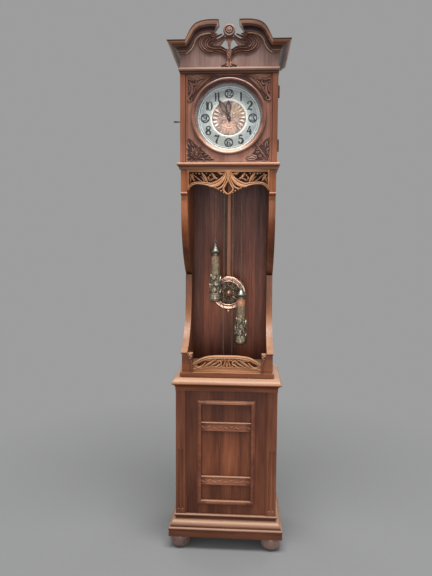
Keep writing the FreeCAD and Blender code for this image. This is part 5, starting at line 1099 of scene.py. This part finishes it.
def gong_coil():
    """The gong: one smooth spiral of wire, on its stand."""
    thick = 2
    # Half turns about two centres in turn, then a short rise into the stand
    points = []
    for k, radius in enumerate(range(50, 18, -4)):
        middle = 122 if k % 2 == 0 else 118
        points += [around(middle, 0, radius, 180 * (step / 16 + k)) for step in range(16)]
    points += [(140, rise) for rise in (0, 2, 4, 6)]
    c = Carving("gong_wire", front(*GONG))
    rings = []
    for i, (u, v) in enumerate(points):
        before, after = points[max(i - 1, 0)], points[min(i + 1, len(points) - 1)]
        du, dv = after[0] - before[0], after[1] - before[1]
        span = math.hypot(du, dv)
        out = (-dv / span * thick, du / span * thick)
        rings.append([c.place(u + out[0] * math.cos(a), v + out[1] * math.cos(a), thick * math.sin(a))
                      for a in turns(10)])
    c.loops(rings, False)
    c.finish("case", "steel", "steel", replaces=["gong"])
    b = Carving("gong_stand", front(GONG[0] - 4, GONG[1]))
    left, right, low, high = 133, 142, 4, 12
    b.loops([[b.place(u, v, -depth) for u, v in (
        (left + inset, low + inset), (right - inset, low + inset), (right - inset, high - inset),
        (left + inset, high - inset))] for inset, depth in ((0.8, 0), (0, 0.8), (0, 94.2), (0.8, 95))], False)
    b.finish("case", "iron", "steel")


# Stage and light

bpy.context.scene.view_settings.view_transform = "Standard"


def make_stage():
    """A wide pale floor that fades into the backdrop's grey."""
    grey = 0.34
    wide = 14
    sides = 64
    mesh = bpy.data.meshes.new("floor")
    mesh.from_pydata([(wide * math.cos(a), wide * math.sin(a), 0) for a in turns(sides)], [], [tuple(range(sides))])
    floor = add_object("floor", mesh)
    f = Finish("floor", Roughness=0.9)
    tone = f.ramp(f.noise(40), [(0, grey * 0.64), (1, grey * 0.68)])
    f.tree.links.new(tone, f.shader.inputs["Base Color"])
    backdrop = f.node("Emission", {"Color": (grey, grey, grey, 1), "Strength": 1})
    away = f.node("VectorMath", {0: f.coords()}, operation="LENGTH").outputs["Value"]
    fade = f.ramp(f.times(away, 0.1), [(0.06, 0), (0.22, 1)])
    both = f.node("MixShader", {0: fade, 1: f.shader.outputs[0], 2: backdrop.outputs[0]})
    f.tree.links.new(both.outputs[0], f.output.inputs[0])
    mesh.materials.append(f.material)

    world = bpy.data.worlds.new("world")
    bpy.context.scene.world = world
    world.use_nodes = True
    tree = world.node_tree
    tree.nodes.clear()
    rays = add_node(tree, "LightPath").outputs
    direct = rays["Is Camera Ray"]
    for kind in ("Is Transmission Ray", "Is Glossy Ray"):
        direct = add_node(tree, "Math", {0: direct, 1: rays[kind]}, operation="MAXIMUM").outputs[0]
    ambient = add_node(tree, "Background", {0: (0.92, 0.95, 1, 1), 1: 0.36}).outputs[0]
    seen = add_node(tree, "Background", {0: (grey, grey, grey, 1), 1: 1}).outputs[0]
    mix = add_node(tree, "MixShader", {0: direct, 1: ambient, 2: seen})
    add_node(tree, "OutputWorld", {0: mix.outputs[0]})


# Name, place, height aimed at, width and height in metres, and watts
LAMPS = (
    ("overhead", (0.2, -1.1, 4.4), 1.3, 2.6, 1.5, 185),
    ("front_fill", (0.1, -3.3, 1.1), 1.1, 1.8, 1.4, 27),
    ("left_fill", (-2.8, -2.2, 1.7), 1.1, 1.6, 2.4, 21),
    ("right_fill", (2.9, -2, 1.7), 1.1, 1.6, 2.4, 22),
    ("left_back_fill", (-2.6, 2.4, 2.4), 1.2, 1.4, 1.6, 26),
    ("right_back_fill", (2.6, 2.4, 2.4), 1.2, 1.4, 1.6, 26),
)


def make_lamps():
    for name, place, aim, wide, high, power in LAMPS:
        data = bpy.data.lights.new(name, "AREA")
        data.shape = "RECTANGLE"
        data.size = wide
        data.size_y = high
        data.energy = power
        lamp = add_object(name, data)
        lamp.location = place
        lamp.rotation_mode = "QUATERNION"
        lamp.rotation_quaternion = (Vector((0, 0, aim)) - Vector(place)).to_track_quat("-Z", "Y")


make_camera()
make_stage()
make_lamps()
neck_mouldings()
pediment_relief()
door_relief()
upper_fret_relief()
lower_fret_relief()
block_scrolls()
bar_carvings()
dial_relief()
gong_coil()
pierced_hand("hour_hand_open", "hour_pipe", y=-96, length=76, wide=8.6, degrees=357.5, hub=5, node="hour_hand")
pierced_hand("minute_hand_open", "centre_arbor", y=-99, length=88, wide=8.8, degrees=330, hub=4,
             node="minute_hand", nut=True)
weight_relief("left", -1)
weight_relief("right", 1)
bob_relief()
chains()
